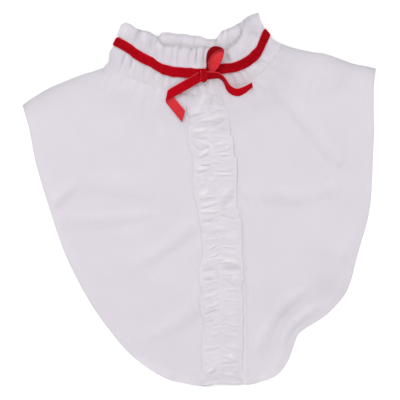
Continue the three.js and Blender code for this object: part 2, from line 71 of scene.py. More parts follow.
# The stand collar in plan, millimetres, from the left fold to the right one: the bib's neck seam,
# the middle of the ribbon and the free edge
collarFront = rowsOf("seam ribbon edge", [
    ((-99.8, 139.4), (-85.3, 166.3), (-77.2, 185.2)),
    ((-75.0, 130.2), (-67.1, 155.7), (-60.5, 177.6)),
    ((-49.8, 121.1), (-47.4, 143.8), (-42.5, 168.0)),
    ((-24.2, 113.3), (-26.0, 136.0), (-22.0, 161.5)),
    ((2.3, 109.3), (-3.2, 134.3), (-1.5, 160.8)),
    ((28.6, 113.0), (19.4, 137.5), (18.0, 160.0)),
    ((52.8, 123.6), (42.6, 141.7), (35.0, 163.0)),
    ((72.6, 140.9), (61.0, 155.1), (50.5, 177.0)),
    ((85.0, 165.4), (70.8, 175.4), (61.9, 195.7)),
])
collarBack = rowsOf("seam ribbon edge", [
    ((-99.8, 139.4), (-85.3, 166.3), (-77.2, 185.2)),
    ((-74.0, 133.0), (-64.0, 157.0), (-60.0, 175.6)),
    ((-49.0, 129.0), (-43.0, 152.0), (-43.0, 172.6)),
    ((-24.0, 127.0), (-22.0, 150.0), (-22.0, 174.8)),
    ((1.0, 127.0), (-2.0, 149.0), (-2.0, 172.6)),
    ((26.0, 130.0), (17.0, 150.0), (15.0, 171.0)),
    ((49.0, 137.0), (36.0, 155.0), (31.0, 179.5)),
    ((68.0, 149.0), (54.0, 164.0), (47.5, 189.5)),
    ((85.0, 165.4), (70.8, 175.4), (61.9, 195.7)),
])
# How far the collar's left fold stands out of the smooth line, in millimetres, at shares of its height
foldBulge = rowsOf("share out", [
    (-0.06, 0), (0, 0), (0.07, -1.4), (0.15, 0), (0.27, 2.8), (0.36, 1.8), (0.47, 0.4), (0.56, 1.6),
    (0.66, 4.2), (0.86, 4.4), (0.94, 2.4), (1, 0.2),
])
ribbonShare = 0.45  # height of the ribbon's middle, as a share of the collar's height
collarHeight = 50

# The bib in plan, millimetres
leftShoulder = [
    (-99.8, 139.4), (-108.2, 136.3), (-125, 131.2), (-156.5, 118.4), (-170, 110.6), (-185.5, 100.2),
]
rightShoulder = [
    (85.0, 165.4), (93.5, 161.8), (106, 158.4), (120, 155.8), (132, 154.1), (150, 147.9), (163, 143.4),
    (175, 141.1), (185.9, 138.7),
]
leftSide = [
    (53, -193), (24, -192.7), (17, -192.9), (12.5, -193.9), (7.4, -195.3), (-21, -190.9), (-33, -187.6),
    (-50.4, -178.3), (-74.6, -159.1), (-95.6, -133.9), (-113.4, -108.7), (-139.7, -58.3), (-161.2, 4.7),
    (-172.2, 42.5), (-178.2, 74), (-185.5, 100.2),
]
rightSide = [
    (12, -192.8), (43, -193.4), (52, -193.6), (64, -190.6), (76.8, -186.2), (84.2, -181.3), (88.5, -176),
    (94.3, -166.6), (98, -156.5), (101.4, -146.6), (104.5, -140), (110.5, -135), (121, -128.4),
    (130, -122.8), (138.8, -115.2), (145.4, -108.2), (152.6, -99.6), (157.6, -89.2), (160.4, -81),
    (164, -66.6), (170, -44.6), (176.2, -23.9), (179.9, -4), (181.8, 24), (182.8, 49), (184, 74),
    (183.5, 98), (183.8, 122), (185.9, 138.7),
]
backSides = {
    "left": [(-176, 101), (-168, 70), (-152, 3), (-132, -57), (-106, -107)],
    "hem": [(-106, -107), (-88, -132), (-46, -171), (8, -187), (62, -182), (91, -146), (122, -117)],
    "right": [(176, 136), (175, 95), (170, -14), (146, -93), (122, -117)],
}
# At each height the frill's stitch line and the two fronts' edges
frontEdge = rowsOf("y stitch upper lower", [
    (118, 4.0, 24, -14),
    (98, 7.0, 28, -8),
    (42, 14.7, 38, 3),
    (0, 21.0, 45, 9),
    (-42, 23.6, 49, 12),
    (-94, 23.6, 51, 12),
    (-146, 24.2, 52, 12),
    (-196, 23.0, 53, 12),
])

# Places that are read off the photo in its own pixels, from its upper left corner
pixel = 1.05  # millimetres
pictureMiddle = (199, 200.5)


def placed(x, y):
    return (x - pictureMiddle[0]) * pixel, (pictureMiddle[1] - y) * pixel


# The collar's free edge in the photo, from the left fold to the right one
freeEdge = {
    "front": [
        (125.5, 22.5), (132, 25.6), (136, 29), (141, 30), (150, 32.6), (154, 34.9), (158.5, 37.2),
        (161, 43.5), (163.5, 46.3), (170, 46.6), (174, 45.5), (177, 44), (180, 47.8), (186, 46.8),
        (191, 48.6), (197, 48.6), (201, 46), (206, 47), (216, 48), (226, 49), (231, 47), (236, 42.5),
        (240, 37.5), (242, 33), (242.8, 27), (243.4, 21), (247, 17.2), (252, 15.2), (258.2, 12.9),
    ],
    "back": [
        (125.5, 23.2), (141, 32), (150, 35.4), (157, 37.4), (160, 34.8), (162, 32.6), (170, 32.6),
        (176, 33.8), (187, 34.2), (190, 35.6), (200, 36), (204, 38), (207, 39.2), (216, 39.2),
        (218.5, 36.2), (221, 31.4), (225, 29.8), (232, 27), (240, 22.8), (245, 18.4), (252, 15.6),
        (258.2, 13.1),
    ],
}
# Lobes and creases of the collar's gathers: where each is across the photo, and how high in millimetres
lobes = {
    "frontAbove": [
        (118, -0.5), (127, 1.6), (134, 0.8), (138.5, -1.3), (142, 0.6), (145, 1.2), (150, 0.2),
        (153, -0.6), (156.5, -1.2), (159.5, 0.3), (161, 0.3), (164.5, -0.35), (167, 0.4), (171, 0.45),
        (173.5, -0.35), (176.5, 0.5), (179.5, -0.2), (182, 0.45), (188, 0.4), (190.5, -0.5), (193, 0.2),
        (197, 0.2), (200, 0.4), (202.5, 0.5), (205, -0.5), (209, 0.4), (213, -0.4), (217, 0.4),
        (222, -0.3), (226, -1.2), (232, 0.9), (238, 1.1), (243, 0.7), (247, 0.4), (250, -0.2),
        (253, 0.8), (256, 1.8), (260, 1.0),
    ],
    "backAbove": [
        (118, 0.0), (140, 0.3), (158, -0.3), (164, 0.8), (170, 0.7), (175, 0.0), (179, 0.2),
        (180.7, -0.9), (182.5, 0.6), (186, 0.6), (190, 0.2), (193.5, 0.5), (195, -0.4), (203, -0.5),
        (206, 0.4), (214, 0.6), (218, -0.5), (221, 0.4), (224, -0.6), (227, 0.4), (231, -1.4),
        (235, 0.7), (239, 0.5), (242.5, -0.8), (246, 0.2), (250, 0.8), (260, 0.4),
    ],
    "frontBelow": [
        (106, 0.2), (111, 0.5), (118, 0.6), (121.5, 0.3), (123.5, -0.9), (126, 0.4), (129, 0.2),
        (131.3, -1.3), (134, 0.9), (138, 0.2), (142, 0.3), (145.5, -0.6), (150, 0.2), (153, 0.2),
        (156, -0.9), (159, 0.6), (163, -1.0), (168, 0.4), (172, -0.5), (178, 0.3), (184, -0.4),
        (190, 0.3), (196, -0.4), (201, 0.5), (206, -1.1), (211, 0.6), (217, -1.1), (223, 0.7),
        (228, 0.0), (231.5, -0.6), (236, 0.4), (240.5, -0.7), (243, 0.2), (245, -0.5), (249, 0.5),
        (254, 0.7), (259, -0.6), (263, 0.6), (267, -0.5), (271, 0.6), (277, 0.1),
    ],
}

# Folds of the bib: the line that each follows in plan, its width and its height, negative for a hollow
folds = rowsOf("line wide high", [
    ([(-130, 130), (-112, 123), (-96, 115)], 6, 0.9),
    ([(-128, 116), (-106, 108), (-80, 103)], 7, -0.9),
    ([(-162, -13), (-147, 2), (-134, 15)], 6, 2.0),
    ([(-158, -22), (-143, -7), (-130, 6)], 5.5, -1.4),
    ([(-124, 4), (-84, -3), (-40, -7), (0, -10)], 10, -1.5),
    ([(-124, 18), (-84, 14), (-44, 8)], 12, 1.4),
    ([(-140, -20), (-88, -17), (-40, -11)], 6, 1.5),
    ([(-128, -34), (-88, -29), (-48, -19)], 4, -1.0),
    ([(-66, -66), (-36, -50), (-4, -22)], 8, 2.1),
    ([(-54, -76), (-28, -60), (2, -34)], 6, -1.8),
    ([(-62, -146), (-28, -130), (-6, -112), (2, -86)], 9, 2.2),
    ([(-56, -160), (-20, -145), (4, -126)], 6, -1.7),
    ([(-98, -50), (-70, -70), (-52, -96)], 12, 0.7),
    ([(-92, -109), (-88, -112)], 6, -1.0),
    ([(30, 102), (52, 95), (76, 90)], 8, -1.0),
    ([(86, 113), (108, 87), (130, 60), (150, 36)], 9, 3.0),
    ([(79, 104), (100, 76), (122, 47), (144, 24)], 7, -2.4),
    ([(96, 124), (118, 118)], 16, 1.0),
    ([(128, 132), (146, 118)], 12, 0.9),
    ([(62, 8), (106, 4), (150, 15)], 9, 1.8),
    ([(66, -6), (104, -12), (144, -1)], 7, -1.5),
    ([(41, 12), (45, -2)], 4, -1.6),
    ([(43, 15), (51, 1)], 4, 1.9),
    ([(44, -66), (56, -82), (64, -98)], 5, 1.0),
    ([(49, -70), (60, -88), (67, -104)], 4, -0.7),
    ([(86.5, -153), (91, -140), (100, -128), (112, -119), (126, -110)], 4.5, 2.8),
    ([(77, -162), (85, -137), (97, -120), (116, -104), (144, -82)], 6, -2.5),
    ([(61, -160), (69, -138), (86, -115), (112, -94)], 7, 2.5),
    ([(54, -152), (60, -136), (70, -122)], 5, -1.0),
    ([(94, -153), (102, -138), (118, -126)], 4, -1.2),
    ([(140, -52), (156, -60)], 10, 1.0),
])
# Painted shade: patches where the cloth looks darker than its folds make it
shades = rowsOf("middle reach share", [
    ((138, -88), 15, 0.26),
    ((92, -116), 14, 0.2),
    ((120, -100), 14, 0.14),
    ((152, 126), 14, 0.14),
])


def smoothStep(x, low, high):
    t = np.clip((np.asarray(x, float) - low) / (high - low), 0, 1)
    return t * t * (3 - 2 * t)


def mix(a, b, t):
    return a + (b - a) * t


def bell(away, high, reach):  # high in the middle and round, gone at about twice its reach
    return high * np.exp(-((away / reach) ** 2))


def faded(away, high, reach):  # high in the middle and pointed
    return high * np.exp(-away / reach)


def smoothLine(points, perSpan=24):  # a smooth line through the points, evenly rounded at each
    p = np.array(points, float)
    p = np.vstack([2 * p[0] - p[1], p, 2 * p[-1] - p[-2]])
    t = (np.arange(perSpan) / perSpan)[:, None]
    pieces = []
    for a, b, c, d in zip(p[:-3], p[1:-2], p[2:-1], p[3:]):
        ab, bc, cd = (math.sqrt(np.linalg.norm(q - r)) for q, r in ((a, b), (b, c), (c, d)))
        out = ((b - a) / ab - (c - a) / (ab + bc) + (c - b) / bc) * bc
        into = ((c - b) / bc - (d - b) / (bc + cd) + (d - c) / cd) * bc
        square, cube = 3 * (c - b) - 2 * out - into, 2 * (b - c) + out + into
        pieces.append(b + out * t + square * t**2 + cube * t**3)
    return np.vstack(pieces + [p[-2][None]])


def lengths(line):
    return np.concatenate([[0], np.cumsum(np.linalg.norm(np.diff(line, axis=0), axis=1))])


def atShare(line, share):  # points at shares of the line's length
    run = lengths(line)
    place = np.asarray(share) * run[-1]
    return np.stack([np.interp(place, run, line[:, k]) for k in range(line.shape[1])], -1)


def atRow(line, share):  # points at shares of the table's rows
    place = np.linspace(0, 1, len(line))
    return np.stack([np.interp(share, place, line[:, k]) for k in range(line.shape[1])], -1)


def patch(near, far, start, end, u, v):  # a surface between four lines, as rows of points
    u, v = np.asarray(u)[None, :, None], np.asarray(v)[:, None, None]
    n, f = atShare(near, u[0, :, 0])[None], atShare(far, u[0, :, 0])[None]
    s, e = atShare(start, v[:, 0, 0])[:, None], atShare(end, v[:, 0, 0])[:, None]
    corners = near[0] * (1 - u) * (1 - v) + near[-1] * u * (1 - v) + far[0] * (1 - u) * v + far[-1] * u * v
    return n * (1 - v) + f * v + s * (1 - u) + e * u - corners


def noise(x, y, seed):  # smooth noise between about -1 and 1, one cell to each unit
    table = np.random.default_rng(seed).uniform(-1, 1, (256, 256))
    ix, iy = np.floor(x).astype(int), np.floor(y).astype(int)
    fx, fy = x - ix, y - iy
    fx, fy = fx * fx * (3 - 2 * fx), fy * fy * (3 - 2 * fy)
    a, b = table[iy % 256, ix % 256], table[iy % 256, (ix + 1) % 256]
    c, d = table[(iy + 1) % 256, ix % 256], table[(iy + 1) % 256, (ix + 1) % 256]
    return (a * (1 - fx) + b * fx) * (1 - fy) + (c * (1 - fx) + d * fx) * fy


def noiseAlong(place, seed, row=0):  # smooth noise along a line
    return noise(place, place * 0 + row, seed)


def turnedNoise(x, y, size, turn, stretch, seed):  # noise drawn out along one direction
    c, s = math.cos(math.radians(turn)), math.sin(math.radians(turn))
    return noise((x * c + y * s) / (size * stretch), (y * c - x * s) / size, seed)


def crumple(x, y, size, turn, stretch, seed):  # noise with sharp crests
    return 0.5 - np.abs(turnedNoise(x, y, size, turn, stretch, seed)) * 1.6


def normalsOf(grid):
    down, across = np.gradient(grid, axis=0), np.gradient(grid, axis=1)
    n = np.cross(across, down)
    return n / np.maximum(np.linalg.norm(n, axis=2, keepdims=True), 1e-12)


def gridFaces(rows, columns):
    a = (np.arange(rows - 1)[:, None] * columns + np.arange(columns - 1)[None]).ravel()
    return np.stack([a, a + 1, a + columns + 1, a + columns], -1)


def outwardFaces(points, faces, n):  # turned over where the first of them looks against n
    p0, p1, p2 = (points[faces[0, k]] for k in range(3))
    return faces[:, ::-1] if np.dot(np.cross(p1 - p0, p2 - p0), n) < 0 else faces


def runOver(grid, axis):  # how far each point is from the grid's first row or column
    return np.linalg.norm(np.diff(grid, axis=axis, prepend=grid.take([0], axis)), axis=2).cumsum(axis)


def layCut(mesh, uv):  # the piece's own map, from one place for each point
    layer = mesh.uv_layers.new(name="cut")
    corners = np.zeros(len(mesh.loops), np.int32)
    mesh.loops.foreach_get("vertex_index", corners)
    layer.data.foreach_set("uv", uv[corners % len(uv)].astype(np.float32).ravel())


def setNumbers(mesh, name, values):  # an attribute with one number for each point
    data = mesh.attributes.new(name, "FLOAT", "POINT").data
    data.foreach_set("value", values.astype(np.float32).ravel())


def addObject(name, data):
    made = bpy.data.objects.new(name, data)
    bpy.context.scene.collection.objects.link(made)
    return made


def wall(name, grid, above, below, materials, tones, facing=(0, 0, 1)):
    # A wall of cloth about a grid of points in millimetres, with its rims closed. Its own map is in metres.
    # Its upper side looks along facing at the grid's first columns.
    rows, columns = grid.shape[:2]
    n = normalsOf(grid)
    if (n[:, :4] @ np.array(facing)).mean() < 0:
        n = -n
    above, below = (np.broadcast_to(np.asarray(a, float), (rows, columns))[..., None] for a in (above, below))
    points = np.concatenate([(grid + n * above).reshape(-1, 3), (grid - n * below).reshape(-1, 3)]) * mm
    top = gridFaces(rows, columns)
    count = rows * columns
    bottom = top[:, ::-1] + count
    edge = np.concatenate([
        np.arange(columns - 1), np.arange(rows - 1) * columns + columns - 1,
        (rows - 1) * columns + np.arange(columns - 1, 0, -1), np.arange(rows - 1, 0, -1) * columns,
    ])
    after = np.roll(edge, -1)
    rim = np.stack([after, edge, edge + count, after + count], -1)
    faces = outwardFaces(points, np.concatenate([top, bottom, rim]), n[0, 0])
    mesh = bpy.data.meshes.new(name)
    mesh.from_pydata(points.tolist(), [], faces.tolist())
    side = np.concatenate([np.zeros(len(top)), np.ones(len(bottom)), np.full(len(rim), 2)]).astype(np.int32)
    for material in materials if len(materials) == 3 else materials * 3:
        mesh.materials.append(material)
    mesh.polygons.foreach_set("material_index", side)
    mesh.polygons.foreach_set("use_smooth", side < 2)
    along = np.broadcast_to(runOver(grid, 1).mean(0), (rows, columns))
    layCut(mesh, np.stack([along, runOver(grid, 0)], -1).reshape(-1, 2) * mm)
    # Its tones: shares of layered cloth and of painted light, and below nought shares of painted shade
    setNumbers(mesh, "double", np.tile(tones.ravel(), 2))
    mesh.validate()
    mesh.update()
    return addObject(name, mesh)


# Shader and geometry maths as expressions
class Value:
    def __init__(self, tree, socket):
        self.tree, self.socket = tree, socket

    def maths(self, operation, *others):
        node = self.tree.nodes.new("ShaderNodeMath")
        node.operation = operation
        for place, value in enumerate((self,) + others):
            if isinstance(value, Value):
                self.tree.links.new(value.socket, node.inputs[place])
            else:
                node.inputs[place].default_value = value
        return Value(self.tree, node.outputs[0])

    def __add__(self, other):
        return self.maths("ADD", other)

    def __mul__(self, other):
        return self.maths("MULTIPLY", other)

    __radd__, __rmul__ = __add__, __mul__

    def sine(self):
        return self.maths("SINE")


class Nodes:
    def __init__(self, tree):
        self.tree = tree

    def add(self, kind, settings=None, **inputs):  # inputs are named as the sockets are, without spaces
        node = self.tree.nodes.new(kind)
        for key, value in (settings or {}).items():
            setattr(node, key, value)
        for key, value in inputs.items():
            socket = self.socketOf(node.inputs, key)
            if isinstance(value, Value):
                self.tree.links.new(value.socket, socket)
            else:
                socket.default_value = value
        return node

    def socketOf(self, sockets, key):
        if key.startswith("at") and key[2:].isdigit():
            return sockets[int(key[2:])]
        return [s for s in sockets if s.enabled and s.name.replace(" ", "").lower() == key.lower()][0]

    def out(self, node, key="at0"):
        return Value(self.tree, self.socketOf(node.outputs, key))

    def feed(self, node, key, value):
        self.tree.links.new(value.socket, node.inputs[key])

    def attribute(self, name):
        return self.out(self.add("ShaderNodeAttribute", {"attribute_name": name}), "Fac")

    def cloud(self, place, scale, detail, **more):
        node = self.add("ShaderNodeTexNoise", Vector=place, Scale=scale, Detail=detail, **more)
        return self.out(node, "Fac")

    def mixed(self, share, first, second, blend="MIX"):  # a colour between two
        settings = {"data_type": "RGBA", "blend_type": blend}
        return self.out(self.add("ShaderNodeMix", settings, at0=share, at6=first, at7=second), "at2")

    def bump(self, height, strength, relief, **more):
        return self.out(self.add("ShaderNodeBump", Strength=strength, Distance=relief, Height=height, **more))


def newMaterial(name, surface):
    material = bpy.data.materials.new(name)
    material.use_nodes = True
    shader = material.node_tree.nodes["Principled BSDF"]
    for key, value in surface.items():
        shader.inputs[key].default_value = value
    return material, Nodes(material.node_tree), shader


cottonLook = {
    "colour": (0.714, 0.665, 0.733, 1),
    "gathered": (0.655, 0.609, 0.670, 1),  # painted shade of the collar's close gathers
    "doubled": (0.84, 0.82, 0.855, 1),  # where the cloth lies in many layers, and as painted light on crests, below the ribbon and inside the collar's back
    "greyed": (0.51, 0.495, 0.525, 1),  # painted shade, where the cloth turns away at its edges, and in its folds and hollows
    "thread": (0.80, 0.78, 0.81, 1),
    "threadPitch": 0.00055,
    "weaveRelief": 0.00004,
    "weaveStrength": 0.5,
    "slubScale": 900.0,
    "slubRelief": 0.0002,
    "slubStrength": 0.35,
    "cloudScale": 28.0,
    "cloudTones": (0.95, 1.03),  # what its faint patches make of the colour
    "cloudShare": 0.35,
    "surface": {
        "Roughness": 0.85,
        "Subsurface Weight": 0.25,  # how much light the thin cloth scatters within it
        "Subsurface Radius": (1, 1, 1),
        "Subsurface Scale": 0.002,
        "Sheen Weight": 0.12,
        "Sheen Roughness": 0.5,
        "Specular IOR Level": 0.25,
    },
}


def makeCotton(name, colour, doubled):
    look = cottonLook
    material, n, shader = newMaterial(name, look["surface"])
    cut = n.out(n.add("ShaderNodeUVMap", {"uv_map": "cut"}))
    split = n.add("ShaderNodeSeparateXYZ", Vector=cut)
    across, down = n.out(split, "X"), n.out(split, "Y")
    turn = 2 * math.pi / look["threadPitch"]
    weave = (across * turn).sine() * (down * turn).sine()
    slub = n.cloud(cut, look["slubScale"], 3.0)
    patches = n.cloud(cut, look["cloudScale"], 2.0)
    layersAndLight = n.attribute("double")
    # The share of layers and painted light goes below nought where shade is painted
    tone = n.mixed(layersAndLight * -1, n.mixed(layersAndLight, colour, doubled), look["greyed"])
    low, high = look["cloudTones"]
    ramp = n.out(n.add("ShaderNodeMapRange", Value=patches, FromMin=0.3, FromMax=0.7, ToMin=low, ToMax=high))
    grey = n.out(n.add("ShaderNodeCombineColor", Red=ramp, Green=ramp, Blue=ramp))
    n.feed(shader, "Base Color", n.mixed(look["cloudShare"], tone, grey, "MULTIPLY"))
    fine = n.bump(weave, look["weaveStrength"], look["weaveRelief"])
    n.feed(shader, "Normal", n.bump(slub, look["slubStrength"], look["slubRelief"], Normal=fine))
    return material


ribbonLook = {
    "pile": (0.36, 0.002, 0.008, 1),
    "pileDark": (0.25, 0.001, 0.004, 1),
    "brushed": (0.56, 0.002, 0.010, 1),  # painted sheen, where the pile catches the light
    "away": (0.12, 0.001, 0.003, 1),  # painted shade, where the pile leans away from the light
    "satin": (0.70, 0.020, 0.032),
    "selvedge": (0.70, 0.075, 0.090),
    "tuftScale": 2600.0,
    "tuftRelief": 0.00025,
    "tuftStrength": 0.6,
    "brushScale": 190.0,
    "satinPitch": 0.0004,
    "satinRelief": 0.00004,
    "satinStrength": 0.3,
    "satinScale": 300.0,
    "satinDeep": 0.82,  # its deeper tone, as a share of its colour
    "pileSurface": {
        "Roughness": 0.95,
        "Specular IOR Level": 0.04,
        "Sheen Weight": 0.55,
        "Sheen Roughness": 0.35,
        "Sheen Tint": (1.0, 0.05, 0.07, 1),
    },
    "satinSurface": {"Roughness": 0.42, "Specular IOR Level": 0.22},
    "selvedgeSurface": {"Roughness": 0.9, "Specular IOR Level": 0.0},
}


def makeVelvet():
    look = ribbonLook
    material, n, shader = newMaterial("velvetPile", look["pileSurface"])
    place = n.out(n.add("ShaderNodeTexCoord"), "Object")
    tuft = n.cloud(place, look["tuftScale"], 2.0)
    strokesOfBrush = n.cloud(place, look["brushScale"], 3.0, Distortion=0.8)
    share = n.out(n.add("ShaderNodeMapRange", Value=strokesOfBrush, FromMin=0.35, FromMax=0.65))
    up = n.attribute("double")
    lit = n.mixed(up, n.mixed(share, look["pileDark"], look["pile"]), look["brushed"])
    # The share of painted sheen goes below nought where shade is painted on the pile
    n.feed(shader, "Base Color", n.mixed(up * -1, lit, look["away"]))
    n.feed(shader, "Normal", n.bump(tuft, look["tuftStrength"], look["tuftRelief"]))
    return material


def makeSatin(name, colour, surface):
    look = ribbonLook
    material, n, shader = newMaterial(name, surface)
    cut = n.out(n.add("ShaderNodeUVMap", {"uv_map": "cut"}))
    split = n.add("ShaderNodeSeparateXYZ", Vector=cut)
    threads = (n.out(split, "Y") * (2 * math.pi / look["satinPitch"])).sine()
    patches = n.cloud(cut, look["satinScale"], 2.0)
    deep = tuple(look["satinDeep"] * c for c in colour)
    n.feed(shader, "Base Color", n.mixed(patches, (*deep, 1), (*colour, 1)))
    n.feed(shader, "Normal", n.bump(threads, look["satinStrength"], look["satinRelief"]))
    return material


cotton = makeCotton("cottonLawn", cottonLook["colour"], cottonLook["doubled"])
# The collar's cotton is darker by the painted shade of its gathers
gatheredShadedCotton = makeCotton("gatheredLawnShaded", cottonLook["gathered"], cottonLook["doubled"])
thread = makeCotton("sewingThread", cottonLook["thread"], cottonLook["thread"])
velvet = makeVelvet()
satin = makeSatin("ribbonBack", ribbonLook["satin"], ribbonLook["satinSurface"])
selvedge = makeSatin("ribbonEdge", ribbonLook["selvedge"], ribbonLook["selvedgeSurface"])
ribbonSides = (velvet, satin, selvedge)
print("materials ready")


# The bib. Where two numbers stand together, the second is the stretch over which the first fades, in
# millimetres.
bib = {
    "columns": 170,
    "rows": 110,
    "crowding": (1.15, 1.1),  # its columns crowd to the front edge and its rows to the neck
    "half": 0.22,  # half the cloth's thickness
    "rimShare": 0.2,  # what is left of it at the edges that lie under other pieces
    "hemWidth": 7.5,
    "hemRows": (0.06, 0.12, 0.18, 0.3, 0.45, 0.6, 0.75, 0.88, 0.96, 1),
    "stitchedRow": 2,  # of the hem's rows
    "hemExtra": 0.06,  # what the turned hem adds on top
    "groove": (1.3, 0.7),  # the line of stitches: how far into the hem, and how wide
    "edgeDrop": 9,  # the last stretch comes down onto the table
    "neckFlat": 9,
    "neckRun": 42,
    "neckHeld": 0.6,  # the share of the folds that the collar's seam presses flat
    "foldRun": 30,  # from the collar's side folds to where its seam is at its full height
    "puckerLength": 9,
    "neckPucker": 0.6,
    "neckPuckerReach": 11,
    "neckCrumple": (0.5, 5.5, 9),  # small rises beside the seam: high, long and wide
    "neckDip": (0.7, 2.6),  # how far the neck edge comes down into the collar's seam
    "hemPucker": 0.3,
    "hemPuckerLength": 12,
    "hemRipple": 0.15,  # of the very edge, on the table
    "frontDrop": (0.42, 5.5),  # how far the front edges come down onto what lies below
    "shoulderDrop": (0.2, 2.5),
    "facing": 9,  # the turned cloth along the upper front's edge
    "lapFlat": 3,
    "lapRun": 12,
}
# Its tones: the hem, the facing and the hem beside the frill add a share of the doubled cloth's colour; the
# others are painted shade at the shoulders, edges and neck, which takes away from it
bibTones = {
    "hem": 0.03,
    "facing": 0.2,
    "hemBesideFrill": 0.4,
    "shoulderRim": (0.7, 1.5),
    "shoulder": (0.68, 6),
    "hemRim": (0.5, 1.4),
    "neck": (0.24, 26),
}
# Fine creases all over it: turn is in degrees, and stretch how much longer than wide they are
creases = rowsOf("high size turn stretch seed", [
    (0.9, 34, 25, 1.6, 3),
    (0.5, 19, -35, 2.2, 4),
    (0.10, 8, 10, 1.8, 5),
    (0.05, 4.2, -20, 1.5, 6),
])
seamLine = smoothLine(column(collarFront, "seam"))


def frontEdgeAt(y, name):
    return np.interp(y, column(frontEdge, "y")[::-1], column(frontEdge, name)[::-1])


def nearest(grid, line):  # distance from each point to a line, and how far along it that is
    flat = grid[..., :2].reshape(-1, 2)
    away = np.empty(len(flat))
    place = np.empty(len(flat))
    run = lengths(line)
    for at in range(0, len(flat), 4000):
        d = np.linalg.norm(flat[at:at + 4000, None] - line[None], axis=2)
        k = d.argmin(1)
        away[at:at + 4000], place[at:at + 4000] = d[np.arange(len(k)), k], run[k]
    return away.reshape(grid.shape[:2]), place.reshape(grid.shape[:2])


def strokes(x, y, rows, steep=1.0):  # soft ridges and hollows along lines, steeper towards the hem
    total = np.zeros_like(x)
    here = np.stack([x, y], -1).reshape(-1, 2)
    for row in rows:
        line = smoothLine(row["line"], 8)
        run = np.gradient(line, axis=0)
        run *= np.where(run[:, :1] < 0, -1, 1)
        k = np.linalg.norm(here[:, None] - line[None], axis=2).argmin(1)
        offset = here - line[k]
        away = np.hypot(*offset.T)
        below = run[k, 0] * offset[:, 1] < run[k, 1] * offset[:, 0]
        along = lengths(line)[k] / max(lengths(line)[-1], 1)
        taper = 0.35 + 0.65 * np.sqrt(np.clip(4 * along * (1 - along), 0, 1))
        wide = row["wide"] * np.where(below, steep, 1)
        total += bell(away, row["high"] * taper, wide).reshape(x.shape)
    return total


def foldHeight(x, y):
    total = strokes(x, y, folds)
    for row in creases:
        total += row["high"] * turnedNoise(x, y, row["size"], row["turn"], row["stretch"], row["seed"])
    return 0.5 * (total + np.sqrt(total**2 + 0.5))  # the cloth below holds up the hollows


def pucker(place, away, size, reach, seed):  # small gathers along a seam, which die out away from it
    wave = np.sin(2 * math.pi * (place / size + 0.8 * noiseAlong(place / (2.3 * size), seed)))
    return wave * (0.6 + 0.4 * noiseAlong(place / size, seed + 1, 3)) * np.exp(-away / reach)


def lowerFrontLevel(x, y):
    away, place = nearest(np.stack([x, y], -1), seamLine)
    rise = 1 - smoothStep(away, bib["neckFlat"], bib["neckRun"])
    fromFold = np.minimum(place, lengths(seamLine)[-1] - place)
    neck = mix(levels["neckFold"], levels["neckBib"], smoothStep(fromFold, 0, bib["foldRun"]))
    level = mix(levels["bib"], neck, rise) + foldHeight(x, y) * (1 - bib["neckHeld"] * rise)
    level += bib["neckPucker"] * pucker(place, away, bib["puckerLength"], bib["neckPuckerReach"], 11)
    high, long, wide = bib["neckCrumple"]
    level += high * rise * noise(place / long, away / wide, 14)
    return level - faded(away, *bib["neckDip"])


def upperFrontLevel(x, y):
    lap = smoothStep(x - frontEdgeAt(y, "lower"), -bib["lapFlat"] - bib["lapRun"], -bib["lapFlat"])
    return lowerFrontLevel(x, y) + levels["layer"] * lap


def insetLine(line, width, startLine, endLine):  # a line inside the bib's edge, which ends on its neighbours
    run = np.gradient(line, axis=0)
    run /= np.linalg.norm(run, axis=1, keepdims=True)
    inwards = np.stack([-run[:, 1], run[:, 0]], -1)
    middle = line.mean(0) + (0, 80)
    inwards *= np.sign(((middle - line) * inwards).sum(1).mean())
    inner = line + inwards * width
    share = lengths(line) / lengths(line)[-1]
    for near, target in ((1 - share / 0.06, startLine), (1 - (1 - share) / 0.06, endLine)):
        back = 1 - width / lengths(target)[-1]
        wanted = atShare(target, np.array([back]))[0]
        here = inner[0] if near[0] > near[-1] else inner[-1]
        inner = inner + np.clip(near, 0, 1)[:, None] * (wanted - here)
    return inner


